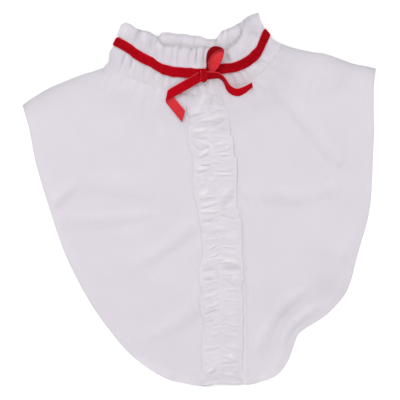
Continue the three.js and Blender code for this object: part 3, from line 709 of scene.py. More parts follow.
def bibPanel(name, neck, side, frontLine, shoulder, level):
    inner = insetLine(side, bib["hemWidth"], frontLine, shoulder)
    keptFront, keptShoulder = (
        atShare(line, np.linspace(0, 1 - bib["hemWidth"] / lengths(line)[-1], count))
        for line, count in ((frontLine, 200), (shoulder, 100))
    )
    u = np.linspace(0, 1, bib["columns"]) ** bib["crowding"][0]
    v = np.linspace(0, 1, bib["rows"]) ** bib["crowding"][1]
    plan = patch(neck, inner, keptFront, keptShoulder, u, v)
    outer, inside = atShare(side, u), plan[-1]
    plan = np.concatenate([plan, np.array([mix(inside, outer, k) for k in bib["hemRows"]])])
    x, y = plan[..., 0], plan[..., 1]
    away, place = nearest(plan, side)
    shoulderAway, shoulderPlace = nearest(plan, shoulder)
    frontAway, neckAway = nearest(plan, frontLine)[0], nearest(plan, seamLine)[0]
    inland = smoothStep(away, 0, bib["edgeDrop"])
    # The hem comes down onto the table, and the other edges onto what lies below
    length = bib["hemPuckerLength"]
    z = level(x, y)
    z += bib["hemPucker"] * pucker(place, away, length, 10, 21) * (1 - np.exp(-away / 2))
    z = mix(levels["hemOnTable"] + bib["hemRipple"] * pucker(place, away, length, 30, 21), z, inland)
    z -= faded(frontAway, *bib["frontDrop"])
    z -= faded(shoulderAway, *bib["shoulderDrop"]) * inland
    intoHem = bib["hemWidth"] - away
    hem = smoothStep(intoHem, -0.2, 0.5)
    groove = bell(intoHem - bib["groove"][0], 1, bib["groove"][1])
    thin = mix(bib["rimShare"], 1, smoothStep(np.minimum(frontAway / 2.2, neckAway + 0.3), 0, 2))
    above = bib["half"] * thin + bib["hemExtra"] * (hem - 0.35 * groove)
    grid = np.dstack([x, y, z])
    # Its tones: a lighter hem and facing, and painted shade at the shoulders, edges and neck and in patches
    uneven = 1 + 0.3 * noiseAlong(shoulderPlace / 22, 22)
    greyed = faded(shoulderAway, *bibTones["shoulderRim"]) + faded(away, *bibTones["hemRim"])
    greyed += uneven * faded(shoulderAway, *bibTones["shoulder"])
    greyed += bell(neckAway, *bibTones["neck"]) * smoothStep(x, 50, 80)
    for row in shades:
        fromMiddle = np.hypot(x - row["middle"][0], y - row["middle"][1])
        greyed += bell(fromMiddle, row["share"], row["reach"])
    besideFrill = smoothStep(-y, 158, 178) * smoothStep(np.abs(x - 18), 18, 32)
    besideFrill = besideFrill * (1 + noiseAlong(place / 7, 23))
    facing = smoothStep(bib["facing"] - frontAway, -0.2, 0.8)
    tones = bibTones["hem"] * hem + bibTones["facing"] * facing
    tones += bibTones["hemBesideFrill"] * hem * besideFrill
    made = wall(name, grid, above, bib["half"] * thin, (cotton,), tones - greyed)
    n = normalsOf(grid)
    return made, grid + n * np.sign(n[..., 2:].mean()) * above[..., None]


def seamPart(start, end):
    return atRow(seamLine, (np.linspace(start, end, 160) + 1) / 2)


def edgeDown(neck, name, foot):  # a front edge from the neck to the hem
    return smoothLine([neck[0]] + [(row[name], row["y"]) for row in frontEdge[1:-1]] + [foot])


upperNeck = seamPart(0.22, -1)
placketLine = edgeDown(upperNeck, "upper", leftSide[0])
upperFront, upperTop = bibPanel("upperFront", upperNeck, smoothLine(leftSide), placketLine,
                                smoothLine(leftShoulder), upperFrontLevel)
lowerNeck = seamPart(-0.16, 1)
hiddenLine = edgeDown(lowerNeck, "lower", rightSide[0])
lowerFront, lowerTop = bibPanel("lowerFront", lowerNeck, smoothLine(rightSide), hiddenLine,
                                smoothLine(rightShoulder), lowerFrontLevel)
print("bib: fronts")


back = {
    "columns": 110,
    "rows": 90,
    "below": 1,  # how far its shoulders lie inside the fronts'
    "hemExtra": 0.2,
    "wave": 0.12,
    "pucker": 0.1,
    "hemTone": 0.15,
}


def makeBackPanel():
    def dropped(line):
        return [(x, y - back["below"]) for x, y in line[1:-1]]

    neck = column(collarBack, "seam")
    top = [backSides["left"][0]] + dropped(leftShoulder)[::-1] + neck
    top += dropped(rightShoulder) + [backSides["right"][0]]
    lines = [smoothLine(line) for line in (top, backSides["hem"], backSides["left"], backSides["right"])]
    plan = patch(*lines, np.linspace(0, 1, back["columns"]), np.linspace(0, 1, back["rows"]))
    outline = np.vstack([lines[2], lines[1], lines[3][::-1]])
    away, place = nearest(plan, outline)
    hem = smoothStep(bib["hemWidth"] - away, -0.5, 1.5)
    x, y = plan[..., 0], plan[..., 1]
    z = levels["back"] + back["wave"] * (1 + turnedNoise(x, y, 26, 30, 1.5, 31))
    z = z + back["pucker"] * pucker(place, away, bib["hemPuckerLength"], 10, 33)
    above = bib["half"] + back["hemExtra"] * hem
    return wall("backPanel", np.dstack([x, y, z]), above, bib["half"], (cotton,), back["hemTone"] * hem)


backPanel = makeBackPanel()
print("bib: back")

# The stand collar
collar = {
    "gathers": 44,
    "perGather": 14,
    "rows": 52,
    "tuck": 0.06,  # share of its height under the bib
    "slit": 0.9,  # how far it stands open at centre front, at the free edge
    "lap": 2.4,  # how far its ends lap from the ribbon down
    "half": 0.24,
    "weaveDrawn": 1.7,  # how much closer the weave lies across the gathers
    "readAt": (0.2, 0.78),  # where the lobes below and above the ribbon are read, as shares of its height
    "uneven": 0.45,  # how much its gathers differ in width
    "backLobes": -0.6,  # the share of the lobes on its back, which look inwards
    "lapHigh": 0.6,  # how far one end lies over the other
    "wander": 1.3,  # how far the lobes stray sideways on their way up
    "crumples": ((0.35, 17, 1.6), (0.3, 33, 3.1)),  # high, how many round it, how many up it
    "facetLean": 0.6,
    "overlapShare": 0.6,
    "depths": (0.1, 1.7),  # least and most of each gather's depth, overlap, lean and tilt
    "overlaps": (0.2, 1.5),
    "leans": (-1, 1),
    "tilts": (-0.5, 0.5),
    "sharpFrom": 62,  # degrees between faces at which an edge stays sharp
    "seed": 5,
}
# Its tones, as the bib's: painted shade at its free edge and near its side folds, a painted highlight on its
# lobes' crests, and painted light on its front below the ribbon and inside its back above it
collarTones = {
    "edge": -1.0,
    "crests": 0.05,
    "frontBelow": 0.28,
    "towardsRight": 0.12,
    "middle": (0.3, 16),
    "backAbove": 0.4,
    "sideFolds": ((0.28, 0.55), (0.55, 0.2)),  # painted shade, by the sine of the angle from each fold
}
# How strong the lobes and the small gathers are at each share of the collar's height
gatherDepths = rowsOf("share lobe small overlap", [
    (-0.06, 0.2, 0.1, 0.0),
    (0.06, 0.45, 0.14, 0.1),
    (0.2, 1.2, 0.15, 0.2),
    (0.28, 1.0, 0.18, 0.3),
    (0.36, 0.4, 0.2, 0.2),
    (0.54, 0.35, 0.2, 0.2),
    (0.62, 1.1, 0.16, 0.3),
    (0.72, 1.7, 0.14, 0.4),
    (0.88, 2.1, 0.14, 0.4),
    (1.0, 2.4, 0.16, 0.4),
])
# Further folds of the collar's front, read off the photo as the frill's puckers are
collarFolds = rowsOf("from to wide high", [
    ((244.5, 23), (248.5, 33), 3.2, -1.8),
    ((248.5, 33), (258, 38), 3.4, -1.8),
    ((251.5, 16), (254.5, 29), 4.0, 1.4),
    ((240, 45), (245, 54), 4.0, 1.0),
    ((231, 52), (236, 57), 3.0, -0.8),
    ((150, 40), (157, 55), 3.5, -1.3),
    ((141, 34), (146, 50), 3.0, 0.9),
    ((124, 57), (121.5, 67), 1.6, -0.7),
    ((131, 57), (131.5, 70), 1.8, -0.8),
    ((199, 84), (203, 96), 10, 2.0),
    ((259, 60), (267, 64.5), 1.7, -1.0),
    ((262, 58), (269, 63), 1.7, 0.7),
])
ringLines = {
    half: {line: smoothLine(column(rows, line)) for line in ("seam", "ribbon", "edge")}
    for half, rows in (("front", collarFront), ("back", collarBack))
}
for half, rows in freeEdge.items():
    edgeX, edgeY = np.array([placed(*place) for place in rows]).T
    line = ringLines[half]["edge"]
    line[:, 1] = np.interp(line[:, 0], edgeX, edgeY)
bulgeLine = smoothLine([(row["share"], row["out"]) for row in foldBulge], 8)


def photoLines(rows):  # rows whose lines run between two places of the photo
    return [{**row, "line": [placed(*row["from"]), placed(*row["to"])]} for row in rows]


def lobeHeight(x, name):
    rows = lobes[name]
    places = np.array([placed(across, 0)[0] for across, high in rows])
    highs = np.array([high for across, high in rows])
    k = np.clip(np.searchsorted(places, x) - 1, 0, len(rows) - 2)
    return mix(highs[k], highs[k + 1], smoothStep((x - places[k]) / (places[k + 1] - places[k]), 0, 1))


def upTheCollar(v, seam, ribbon, edge):
    r = ribbonShare
    fromSeam = seam * (v - r) * (v - 1) / r
    fromRibbon = ribbon * v * (v - 1) / (r * (r - 1))
    return fromSeam + fromRibbon + edge * v * (v - r) / (1 - r)


def ringPoint(angle, v):  # the middle of the flattened ring, with 90 degrees at centre front
    angle, v = np.broadcast_arrays(angle, v)
    share = (np.cos(angle) + 1) / 2
    isFront = np.sin(angle) >= 0
    plan = {}
    for half in ("front", "back"):
        seam, ribbon, edge = (atRow(ringLines[half][line], share) for line in ("seam", "ribbon", "edge"))
        plan[half] = upTheCollar(v[..., None], seam, ribbon, edge)
        plan[half][..., 0] -= bell(share, np.interp(v, bulgeLine[:, 0], bulgeLine[:, 1]), 0.05)
    rise = mix(smoothStep(v, 0, ribbonShare), np.clip(v / ribbonShare, 0, 1), 0.7)
    toEdge = 0.7 * smoothStep(v, ribbonShare, 1) + 0.3 * smoothStep(v, 0.86, 1)

    def level(side):
        return mix(mix(levels["neck" + side], levels["ribbon" + side], rise), levels["edge" + side], toEdge)

    high = (level("Front") - level("Back")) / 2
    z = (level("Front") + level("Back")) / 2 + np.where(isFront, 1, -1) * high * np.abs(np.sin(angle)) ** 0.8
    return np.concatenate([np.where(isFront[..., None], plan["front"], plan["back"]), z[..., None]], -1)


def evenRing(count, gap):  # angles at even distances round the ring, from one side of the slit to the other
    fine = math.pi / 2 + np.linspace(0, 2 * math.pi, 2881)
    run = lengths(ringPoint(fine, np.full(fine.shape, ribbonShare)))
    return np.interp(np.linspace(gap / 2, run[-1] - gap / 2, count), run, fine), run[-1]


def unevenFolds(count, spread, seed):  # shares at which each fold starts, with folds of uneven width
    widths = 1 + spread * np.random.default_rng(seed).uniform(-1, 1, count)
    return np.concatenate([[0], np.cumsum(widths) / widths.sum()])


def perFold(share, starts, low, high, seed):  # one value for each fold, run smoothly into the next
    values = np.random.default_rng(seed).uniform(low, high, len(starts) - 1)
    middles = (starts[1:] + starts[:-1]) / 2
    return np.interp(share, middles, values)


def newTree(name, inputs, output):  # a tree with its inputs, each named with its kind
    tree = bpy.data.node_groups.new(name, "GeometryNodeTree")
    for socket, kind in inputs.items():
        tree.interface.new_socket(socket, in_out="INPUT", socket_type="NodeSocket" + kind)
    tree.interface.new_socket(output, in_out="OUTPUT", socket_type="NodeSocketGeometry")
    n = Nodes(tree)
    return tree, n, n.add("NodeGroupInput")


def endTree(n, geometry, material):
    whole = n.out(n.add("GeometryNodeRealizeInstances", Geometry=geometry))
    dressed = n.out(n.add("GeometryNodeSetMaterial", Geometry=whole, Material=material))
    n.feed(n.add("NodeGroupOutput"), 0, dressed)


def gatherTree():
    # Lays a smooth strip into gathers, by the attributes that it carries, and gives it its thickness
    tree, n, given = newTree("gathers", {
        "Strip": "Geometry", "Depth": "Float", "Overlap": "Float", "Thickness": "Float", "Cloth": "Material",
    }, "Gathered")

    def named(name, kind="FLOAT"):
        return n.out(n.add("GeometryNodeInputNamedAttribute", {"data_type": kind}, Name=name), "Attribute")

    def along(direction, distance):
        return n.out(n.add("ShaderNodeVectorMath", {"operation": "SCALE"}, at0=direction, Scale=distance))

    phase, depth, overlap, lean = named("phase"), named("depth"), named("overlap"), named("lean")
    out = n.out(given, "Depth") * depth
    # Flat crests and steep sides: the sine, pressed, with each crest tilted as a facet
    pressed = (phase.sine() * 1.5).maths("TANH") * 0.9 + (phase * 0.5 + 0.8).sine() * named("tilt")
    sideways = (phase * 2).sine() * overlap * n.out(given, "Overlap") * -1 + pressed * out * lean
    lift = along(named("outwards", "FLOAT_VECTOR"), pressed * out)
    slide = along(named("onwards", "FLOAT_VECTOR"), sideways)
    both = n.out(n.add("ShaderNodeVectorMath", {"operation": "ADD"}, at0=lift, at1=slide))
    moved = n.out(n.add("GeometryNodeSetPosition", Geometry=n.out(given, "Strip"), Offset=both))
    raised = n.out(n.add("GeometryNodeExtrudeMesh", {"mode": "FACES"}, Mesh=moved,
                         OffsetScale=n.out(given, "Thickness"), Individual=False))
    under = n.out(n.add("GeometryNodeFlipFaces", Mesh=moved))
    joined = n.add("GeometryNodeJoinGeometry")
    for side in (raised, under):
        n.feed(joined, 0, side)
    closed = n.out(n.add("GeometryNodeMergeByDistance", Geometry=n.out(joined), Distance=1e-6))
    endTree(n, closed, n.out(given, "Cloth"))
    return tree


def runTree(piece, tree, values):  # the tree's result as a plain mesh
    modifier = piece.modifiers.new("made", "NODES")
    modifier.node_group = tree
    sockets = {item.name: item.identifier for item in tree.interface.items_tree if item.in_out == "INPUT"}
    for name, value in values.items():
        modifier[sockets[name]] = value
    graph = bpy.context.evaluated_depsgraph_get()
    mesh = bpy.data.meshes.new_from_object(piece.evaluated_get(graph))
    piece.modifiers.remove(modifier)
    old = piece.data
    piece.data = mesh
    bpy.data.meshes.remove(old)
    return piece


gathers = gatherTree()


def gatheredStrip(name, grid, numbers, outwards, half):
    rows, columns = grid.shape[:2]
    onwards = np.gradient(grid, axis=1)
    onwards /= np.linalg.norm(onwards, axis=2, keepdims=True)
    n = normalsOf(grid)
    if (n * outwards).sum() < 0:
        n = -n
    points = ((grid - n * half) * mm).reshape(-1, 3)
    faces = outwardFaces(points, gridFaces(rows, columns), n[0, 0])
    mesh = bpy.data.meshes.new(name)
    mesh.from_pydata(points.tolist(), [], faces.tolist())
    for key, values in numbers.items():
        setNumbers(mesh, key, np.broadcast_to(values, (rows, columns)))
    for key, values in (("outwards", n), ("onwards", onwards)):
        data = mesh.attributes.new(key, "FLOAT_VECTOR", "POINT").data
        data.foreach_set("vector", values.astype(np.float32).ravel())
    along = runOver(grid, 1).mean(0) * collar["weaveDrawn"]
    layCut(mesh, np.stack(np.meshgrid(along, runOver(grid, 0).mean(1)), -1).reshape(-1, 2) * mm)
    made = addObject(name, mesh)
    # Its cotton carries the painted shade of its gathers
    runTree(made, gathers, {
        "Depth": 1.0, "Overlap": 1.0, "Thickness": 2 * half * mm, "Cloth": gatheredShadedCotton,
    })
    made.data.polygons.foreach_set("use_smooth", np.ones(len(made.data.polygons), bool))
    made.data.set_sharp_from_angle(angle=math.radians(collar["sharpFrom"]))
    return made


def makeCollar():
    count = collar["gathers"] * collar["perGather"]
    angles, girth = evenRing(count, 0)
    share = np.linspace(0, 1, count)
    starts = unevenFolds(collar["gathers"], collar["uneven"], collar["seed"])
    phase = 2 * math.pi * np.interp(share, starts, np.arange(collar["gathers"] + 1))
    v = np.linspace(-collar["tuck"], 1, collar["rows"])[:, None]
    # The ends stand apart above the ribbon, and lap below it
    above = smoothStep(v, 0.5, 0.68)
    gap = collar["slit"] * np.clip((v - 0.62) / 0.38, 0, 1) - collar["lap"] * (1 - above)
    nearEnd = bell(np.minimum(share, 1 - share), 1, 0.012)
    around = angles + np.sign(0.5 - share) * nearEnd * gap / 2 * (2 * math.pi / girth)
    grid = ringPoint(around, v + 0 * share)
    outwards = normalsOf(grid)
    outwards *= np.sign((outwards * (grid - grid.mean(axis=(0, 1)))).sum(-1).mean())
    x, isFront, fromFold = grid[..., 0], np.sin(around) >= 0, np.abs(np.sin(around))
    depths = {key: np.interp(v, column(gatherDepths, "share"), column(gatherDepths, key))
              for key in ("lobe", "small", "overlap")}
    # The lobes that the photo shows, uneven up the collar
    wander = collar["wander"] * noise(x / 9, v * 5, 50)
    lowLine, highLine = (
        ringPoint(angles, np.full(count, place))[:, 0] + wander for place in collar["readAt"]
    )
    front = mix(lobeHeight(lowLine, "frontBelow"), lobeHeight(highLine, "frontAbove"),
                smoothStep(v, 0.38, 0.52))
    lobe = np.where(isFront, front, collar["backLobes"] * lobeHeight(highLine, "backAbove"))
    lobe = lobe * mix(0.25, 1, smoothStep(fromFold, 0.0, 0.25))
    lobe = lobe * (0.9 + 0.5 * noise(x / 6.5, v * 5.5, 51))
    (high, across, up), (smallHigh, smallAcross, smallUp) = collar["crumples"]
    low = high * noise(share * across, v * up, 45) + smallHigh * noise(share * smallAcross, v * smallUp, 46)
    lapping = collar["lapHigh"] * (1 - above) * smoothStep(0.009 - share, -0.004, 0.004)
    pressed = strokes(x, grid[..., 1], photoLines(collarFolds)) * smoothStep(np.sin(around), 0.1, 0.3)
    pressed = pressed * np.clip(depths["lobe"], 0, 1)
    grid = grid + outwards * (depths["lobe"] * lobe + low * mix(0.4, 1, above) + lapping + pressed)[..., None]
    # The small gathers, each of its own depth, overlap, lean and tilt
    inward = smoothStep(fromFold, 0.15, 0.7)
    ends = smoothStep(share, 0, 0.012) * smoothStep(1 - share, 0, 0.012)
    varied = perFold(share, starts, *collar["depths"], 42) * inward
    fold = girth / collar["gathers"] / (2 * math.pi)
    overlap = collar["overlapShare"] * depths["overlap"] * fold * ends * inward
    overlap = overlap * perFold(share, starts, *collar["overlaps"], 47)
    drift = 0.5 * noise(share * 20, v * 3, 44) + 0.9 * noise(share * 31, v * 5, 49) * above
    # Its tones: painted shade at the free edge and near the side folds, painted highlight on the crests, and
    # painted light below the ribbon and inside the back
    tones = collarTones["edge"] * smoothStep(v, 0.9, 1)
    tones = tones + collarTones["crests"] * np.clip(lobe, 0, 1.6) * depths["lobe"]
    below = collarTones["frontBelow"] + collarTones["towardsRight"] * smoothStep(x, 20, 55)
    below = below + bell(x, *collarTones["middle"])
    tones = tones + np.where(isFront, (1 - above) * below, collarTones["backAbove"] * above)
    tones -= (1 - above) * sum(bell(fromFold, *row) for row in collarTones["sideFolds"])
    return gatheredStrip("collarFrill", grid, {
        "phase": phase + drift,
        "depth": depths["small"] * varied * ends * mm,
        "overlap": overlap * mm,
        "lean": collar["facetLean"] * perFold(share, starts, *collar["leans"], 43) * smoothStep(v, 0.5, 1),
        "tilt": perFold(share, starts, *collar["tilts"], 48) * smoothStep(v, 0.1, 0.3),
        "double": tones,
    }, outwards, collar["half"])


collarFrill = makeCollar()
print("collar gathered")

# The frill down the front
frill = {
    "along": 620,
    "across": 57,
    "top": 119.5,
    "foot": -193,
    "half": 0.22,
    "clear": 0.05,  # from the cloth below to the frill's lowest places
    "thick": 1.15,  # from there to its middle height
    "edge": 0.1,  # the same at its long edges
    "strength": 0.92,  # of the puckers read off the photo
    "crumple": 0.24,
    "footLine": ((-1, -0.7, -0.4, 1), (-1.7, -1.5, 0.3, 0.3)),  # its foot, at places across it
    "crumples": ((2.6, 24, 3.2, 57), (2.9, -6, 3.6, 58)),  # of each half: size, turn, stretch, seed
    "foldSides": (0.55, 1.25),  # how wide each small fold is above and below its crest, as shares
    "wavy": 0.35,  # how far its edges wander
    "swell": ((0.3, 9), (0.15, 3.2)),  # slow rises along it: how high, and how long
    "stitched": ((0.3, 0.08), (0.3, 0.06)),  # gathers and a ridge at its stitch line: high, wide
    "drawn": 0.4,  # how far cloth that stands in a fold is drawn towards it
    "drawnMost": 1.2,
    "intoSeam": 1.5,  # how far its top goes down into the collar's seam
    "pressedIn": -0.6,  # its height near its top, where its right edge lies pressed into the cloth
    "thinEdge": 0.4,  # its thickness at its edges, as a share
    "hemReach": 19,  # the stretch in which it comes down with the bib's hem
    "pocket": {"from": (225, 273), "to": (242.3, 266.5), "share": 0.13},  # shaded by the fold above it
    "seed": 8,
}
# Its tones, as the bib's: a lighter band along its edges, a painted highlight on its crests, where the folded
# cloth also lies doubled, and painted shade in its hollows, under the knot and in the pocket
frillTones = {
    "edge": 0.1,
    "crests": 0.42,
    "hollows": 0.3,
    "underKnot": 0.3,
}
# The small pressed folds of each half, which start at the stitch line: how many, how long as a share of
# the half's width, how wide and high in millimetres, and how far they climb on their way to the edge
frillFolds = rowsOf("side count long wide high climb", [
    (-1, 58, (0.35, 1.1), (0.8, 2.0), (0.05, 0.65), (-7, -1)),
    (1, 44, (0.35, 1.3), (0.8, 2.4), (0.05, 0.5), (-4, 3)),
])
# The frill's edges and its puckers that stand out, read off the photo. The puckers' widths and heights are
# in millimetres; a negative height is a hollow.
frillEdges = {
    "left": [
        (188, 86), (186, 94), (187, 112), (190, 119), (188, 128), (188, 140), (190, 150), (193.5, 159),
        (193.3, 172), (193, 190), (195, 200), (198, 210), (199.5, 221), (201.5, 232), (203, 245),
        (202.5, 258), (199, 267), (199, 282), (202, 292), (198.8, 300), (200.5, 312), (204, 321),
        (204.5, 331), (202, 334), (202, 384),
    ],
    "right": [
        (216, 86), (220, 94), (224, 103), (230, 117), (230.3, 135), (233.4, 138), (234, 156),
        (237.3, 159), (237, 184), (236.8, 209), (239.6, 212), (239.6, 219), (241.5, 223), (242.5, 258),
        (243.6, 263), (244, 279), (241.6, 286), (243, 300), (243.4, 320), (243, 330), (243.6, 348),
        (242.4, 353), (242, 384),
    ],
}
puckers = rowsOf("from to wide high", [
    ((199, 107), (208, 94), 3.0, 1.4),
    ((212, 106), (214, 92), 2.4, -1.4),
    ((222, 103), (231, 100), 3.2, -1.3),
    ((190, 100), (196, 94), 3.0, -1.2),
    ((190, 113), (202, 112), 3.6, 1.0),
    ((190, 119), (204, 114), 2.2, -0.9),
    ((214, 108), (230, 112), 2.6, 0.7),
    ((216, 112), (222, 111), 1.2, -0.9),
    ((201, 121), (216, 119), 2.6, 0.8),
    ((194, 128.5), (207, 126), 1.2, -0.8),
    ((195, 132), (206, 130), 1.9, 1.5),
    ((213, 118), (229, 115.5), 3.0, 1.3),
    ((212, 127), (225, 121), 2.4, -1.5),
    ((216, 130), (227, 130), 5.0, -0.7),
    ((189, 136), (206, 140), 2.8, -1.3),
    ((201, 144), (210, 144), 2.4, 0.8),
    ((191, 142), (200, 151), 2.6, -1.3),
    ((200, 151), (209, 147), 1.4, -1.0),
    ((211, 146), (214, 157), 1.8, 1.0),
    ((201, 156), (207, 152), 2.0, 1.3),
    ((216, 144.5), (223, 144.3), 1.5, 1.2),
    ((226, 149), (230, 147), 1.8, 1.0),
    ((220, 152), (231, 151), 1.1, -0.9),
    ((220, 154.6), (231, 154.4), 1.2, 1.2),
    ((200, 158), (209, 155.5), 1.2, -0.8),
    ((202, 166), (210, 165.5), 1.2, -1.1),
    ((197, 170), (209, 169), 1.6, 1.3),
    ((195, 174), (203, 173), 2.4, -1.3),
    ((219, 172), (231, 172.2), 1.0, -0.9),
    ((216, 174.3), (231, 174.8), 1.2, 1.0),
    ((195, 184), (195, 189), 2.0, -1.2),
    ((208, 181), (216, 179), 2.2, 1.0),
    ((199, 197), (210, 191), 3.6, 1.6),
    ((220, 198), (232, 188), 3.6, 0.9),
    ((224, 206), (234, 196), 3.6, -2.2),
    ((222, 208), (228, 214), 4.0, -0.8),
    ((201, 202), (212, 200), 2.0, -0.9),
    ((201, 207), (213, 204.5), 1.2, 0.9),
    ((199, 210), (215, 205.8), 1.0, -1.0),
    ((201, 212.2), (214, 211.5), 1.8, 1.4),
    ((220, 216), (236, 220), 1.6, -1.3),
    ((238, 221), (243, 218.5), 1.4, 0.9),
    ((201, 223), (216, 221), 2.4, -1.3),
    ((225, 238), (240, 236), 5.0, 0.8),
    ((208.5, 249.5), (215.5, 245.3), 1.1, 1.1),
    ((211, 257), (217, 254), 1.4, 1.3),
    ((222, 246.5), (236, 247.5), 1.1, 0.7),
    ((224, 260.5), (238, 263.0), 2.6, 1.5),
    ((223, 269), (242, 268.5), 3.6, -2.2),
    ((224, 274.2), (242, 273.8), 1.5, 1.0),
    ((201, 271), (216, 270), 2.6, -1.3),
    ((206, 276), (216, 276), 1.8, 0.7),
    ((232, 278), (241, 279), 4.6, 1.3),
    ((226, 281), (238, 288), 1.3, -1.4),
    ((204, 280.5), (213, 280), 2.0, -1.5),
    ((224, 289.6), (241, 289.6), 1.1, 0.9),
    ((207, 292.5), (218, 289.5), 1.1, -0.9),
    ((203, 298), (217, 294.5), 2.0, 1.3),
    ((205, 309), (218, 303.5), 1.7, 1.2),
    ((203, 316), (217, 310), 1.5, -1.5),
    ((206, 323), (214, 320.5), 1.6, -1.4),
    ((212, 330), (218, 329.5), 1.0, -0.7),
    ((211, 335), (219, 333), 2.2, 1.0),
    ((205, 348.5), (216, 346.5), 1.4, 0.8),
    ((204, 352.5), (213, 350.5), 1.2, -0.6),
    ((230, 324), (236, 325.8), 1.3, 0.7),
    ((231, 332), (238, 331), 2.0, -0.6),
    ((229, 356), (235.5, 360.8), 1.7, 1.3),
    ((222, 361), (228, 361), 1.2, 0.8),
    ((222, 364), (236, 363.5), 1.4, -1.2),
    ((204, 364.5), (211, 365), 1.4, -0.8),
    ((207, 372.5), (214, 369), 1.5, 1.1),
    ((211, 375.5), (214.5, 372), 1.4, -1.1),
    ((225, 375), (235, 375), 3.4, 0.8),
])


def makeFrill():
    rng = np.random.default_rng(frill["seed"])
    share = np.linspace(0, 1, frill["along"])[None, :]
    c = np.linspace(-1, 1, frill["across"])[:, None]
    length = frill["top"] - frill["foot"]
    y = mix(frill["top"], frill["foot"] + np.interp(c, *frill["footLine"]), share)
    side, out = np.sign(c) + 0 * share, np.abs(c) + 0 * share
    edges = {key: np.array([placed(*place) for place in rows])[::-1] for key, rows in frillEdges.items()}
    left, right = (np.interp(y, edges[key][:, 1], edges[key][:, 0]) for key in ("left", "right"))
    edge = np.where(c < 0, left, right) + frill["wavy"] * noise(y / 3.4, side * 31, 53)
    x = mix(frontEdgeAt(y, "stitch"), edge, out)
    # Small pressed folds, then the puckers of the photo, then what is uneven all over
    relief = np.zeros_like(y)
    for row in frillFolds:
        places = (np.arange(row["count"]) + rng.uniform(0.05, 0.95, row["count"])) / row["count"]
        for place in places:
            fold = {key: rng.uniform(*row[key]) for key in ("long", "wide", "high", "climb")}
            line = frill["top"] - place * length + fold["climb"] * out
            steep = np.where(y > line, *frill["foldSides"]) * fold["wide"] * (0.5 + 0.5 * out)
            lens = smoothStep(out, -0.02, 0.14) * (1 - smoothStep(out, 0.45 * fold["long"], fold["long"]))
            relief += np.where(side == row["side"], bell(y - line, fold["high"] * lens, steep), 0)
    relief += frill["strength"] * strokes(x, y, photoLines(puckers), 0.7)
    (high, size), (smallHigh, smallSize) = frill["swell"]
    relief += high * noise(y / size, c * 1.4 + 9, 55) + smallHigh * noise(y / smallSize, c * 3 + 21, 56)
    crumpled = np.where(c < 0, *(crumple(x, y, *row) for row in frill["crumples"]))
    relief += frill["crumple"] * crumpled * smoothStep(out, 0, 0.2)
    gathered, ridge = frill["stitched"]
    relief += faded(out, *gathered) * noise(y / 1.7, side * 17, 54) + bell(out, *ridge)
    # What it lies on: the upper front, past its edge the lower one, and at its top the collar
    fromTop = frill["top"] - y
    intoSeam = smoothStep(fromTop + 2.5 * noiseAlong(x / 5, 59), 2, 11)
    upperEdge = frontEdgeAt(y, "upper")
    onCloth = upperFrontLevel(np.minimum(x, upperEdge - 1), y) + bib["half"]
    onCloth = mix(onCloth, lowerFrontLevel(x, y) + bib["half"], smoothStep(x - upperEdge, -0.5, 2.5))
    overSeam = y - np.interp(x, seamLine[:, 0], seamLine[:, 1])
    onCollar = mix(levels["neckFront"], levels["ribbonFront"], np.clip(overSeam / 25, 0, 1)) + collar["half"]
    onCloth = mix(onCloth, onCollar, smoothStep(overSeam, -2, 1.5))
    atEdge = smoothStep(out, 0.6, 1)
    lifted = mix(frill["thick"], frill["edge"], atEdge) + relief * mix(1, 0.5, atEdge)
    lifted = 0.5 * (lifted + np.sqrt(lifted**2 + 0.06))
    # Near its top its edge on the photo's right lies pressed into the cloth
    lifted = mix(lifted, frill["pressedIn"], smoothStep(y, 55, 92) * smoothStep(c, 0.55, 1))
    toHem = 1 - smoothStep(y - frill["foot"], 0, frill["hemReach"])
    onCloth = mix(onCloth, levels["hemOnTable"] + 2 * bib["half"], toHem)
    z = mix(onCloth - frill["intoSeam"], onCloth + frill["clear"] + frill["half"] + lifted, intoSeam)
    pull = -np.gradient(relief, axis=1) / np.gradient(y, axis=1)
    y = y + frill["drawn"] * np.clip(pull, -frill["drawnMost"], frill["drawnMost"]) * intoSeam
    # Its tones: painted highlight on the crests, and painted shade in the hollows, under the knot and in the
    # pocket
    tones = frillTones["edge"] * smoothStep(out, 0.9, 0.92) + frillTones["crests"] * np.clip(relief, 0, 1.8)
    tones = tones - frillTones["hollows"] * np.clip(-relief - 0.4, 0, 1)
    tones = tones - frillTones["underKnot"] * (1 - smoothStep(fromTop, 10, 34))
    low, high = placed(*frill["pocket"]["from"]), placed(*frill["pocket"]["to"])
    within = smoothStep(x, low[0] - 2, low[0] + 3) * (1 - smoothStep(x, high[0] - 0.5, high[0] + 0.5))
    within = within * smoothStep(y, low[1] - 0.6, low[1] + 0.6)
    within = within * (1 - smoothStep(y, high[1] - 1.5, high[1] + 1))
    tones = tones - frill["pocket"]["share"] * within
    half = frill["half"] * mix(1, frill["thinEdge"], smoothStep(out, 0.93, 1))
    return wall("frontFrill", np.dstack([x, y, z]), half, half, (cotton,), tones)


frontFrill = makeFrill()
print("frill gathered")

# The ribbon: velvet pile on one side, satin on the other, and a bare selvedge at each edge
ribbon = {
    "width": 10,
    "neckWider": 1.035,  # round the neck it is as wide as the photo shows it
    "neckEnds": (86.2, 443.4),  # where it ends under the knot, in degrees round the collar
    "endPinch": (0.3, 7.5),  # how much narrower it is at its ends, and over what stretch
    "selvedge": 0.55,
    "pile": 0.62,
    "base": 0.14,
    "back": 0.2,
    "offset": 1.6,  # from the middle of the collar's cloth
    "ripple": 0.15,
    "rippleSeed": 61,
    "sways": ((0.012, 16), (0.006, 6)),  # up and down, as a share of the collar's height, and how long
    "lift": (0.25, 9),  # the same off the collar, in millimetres
}
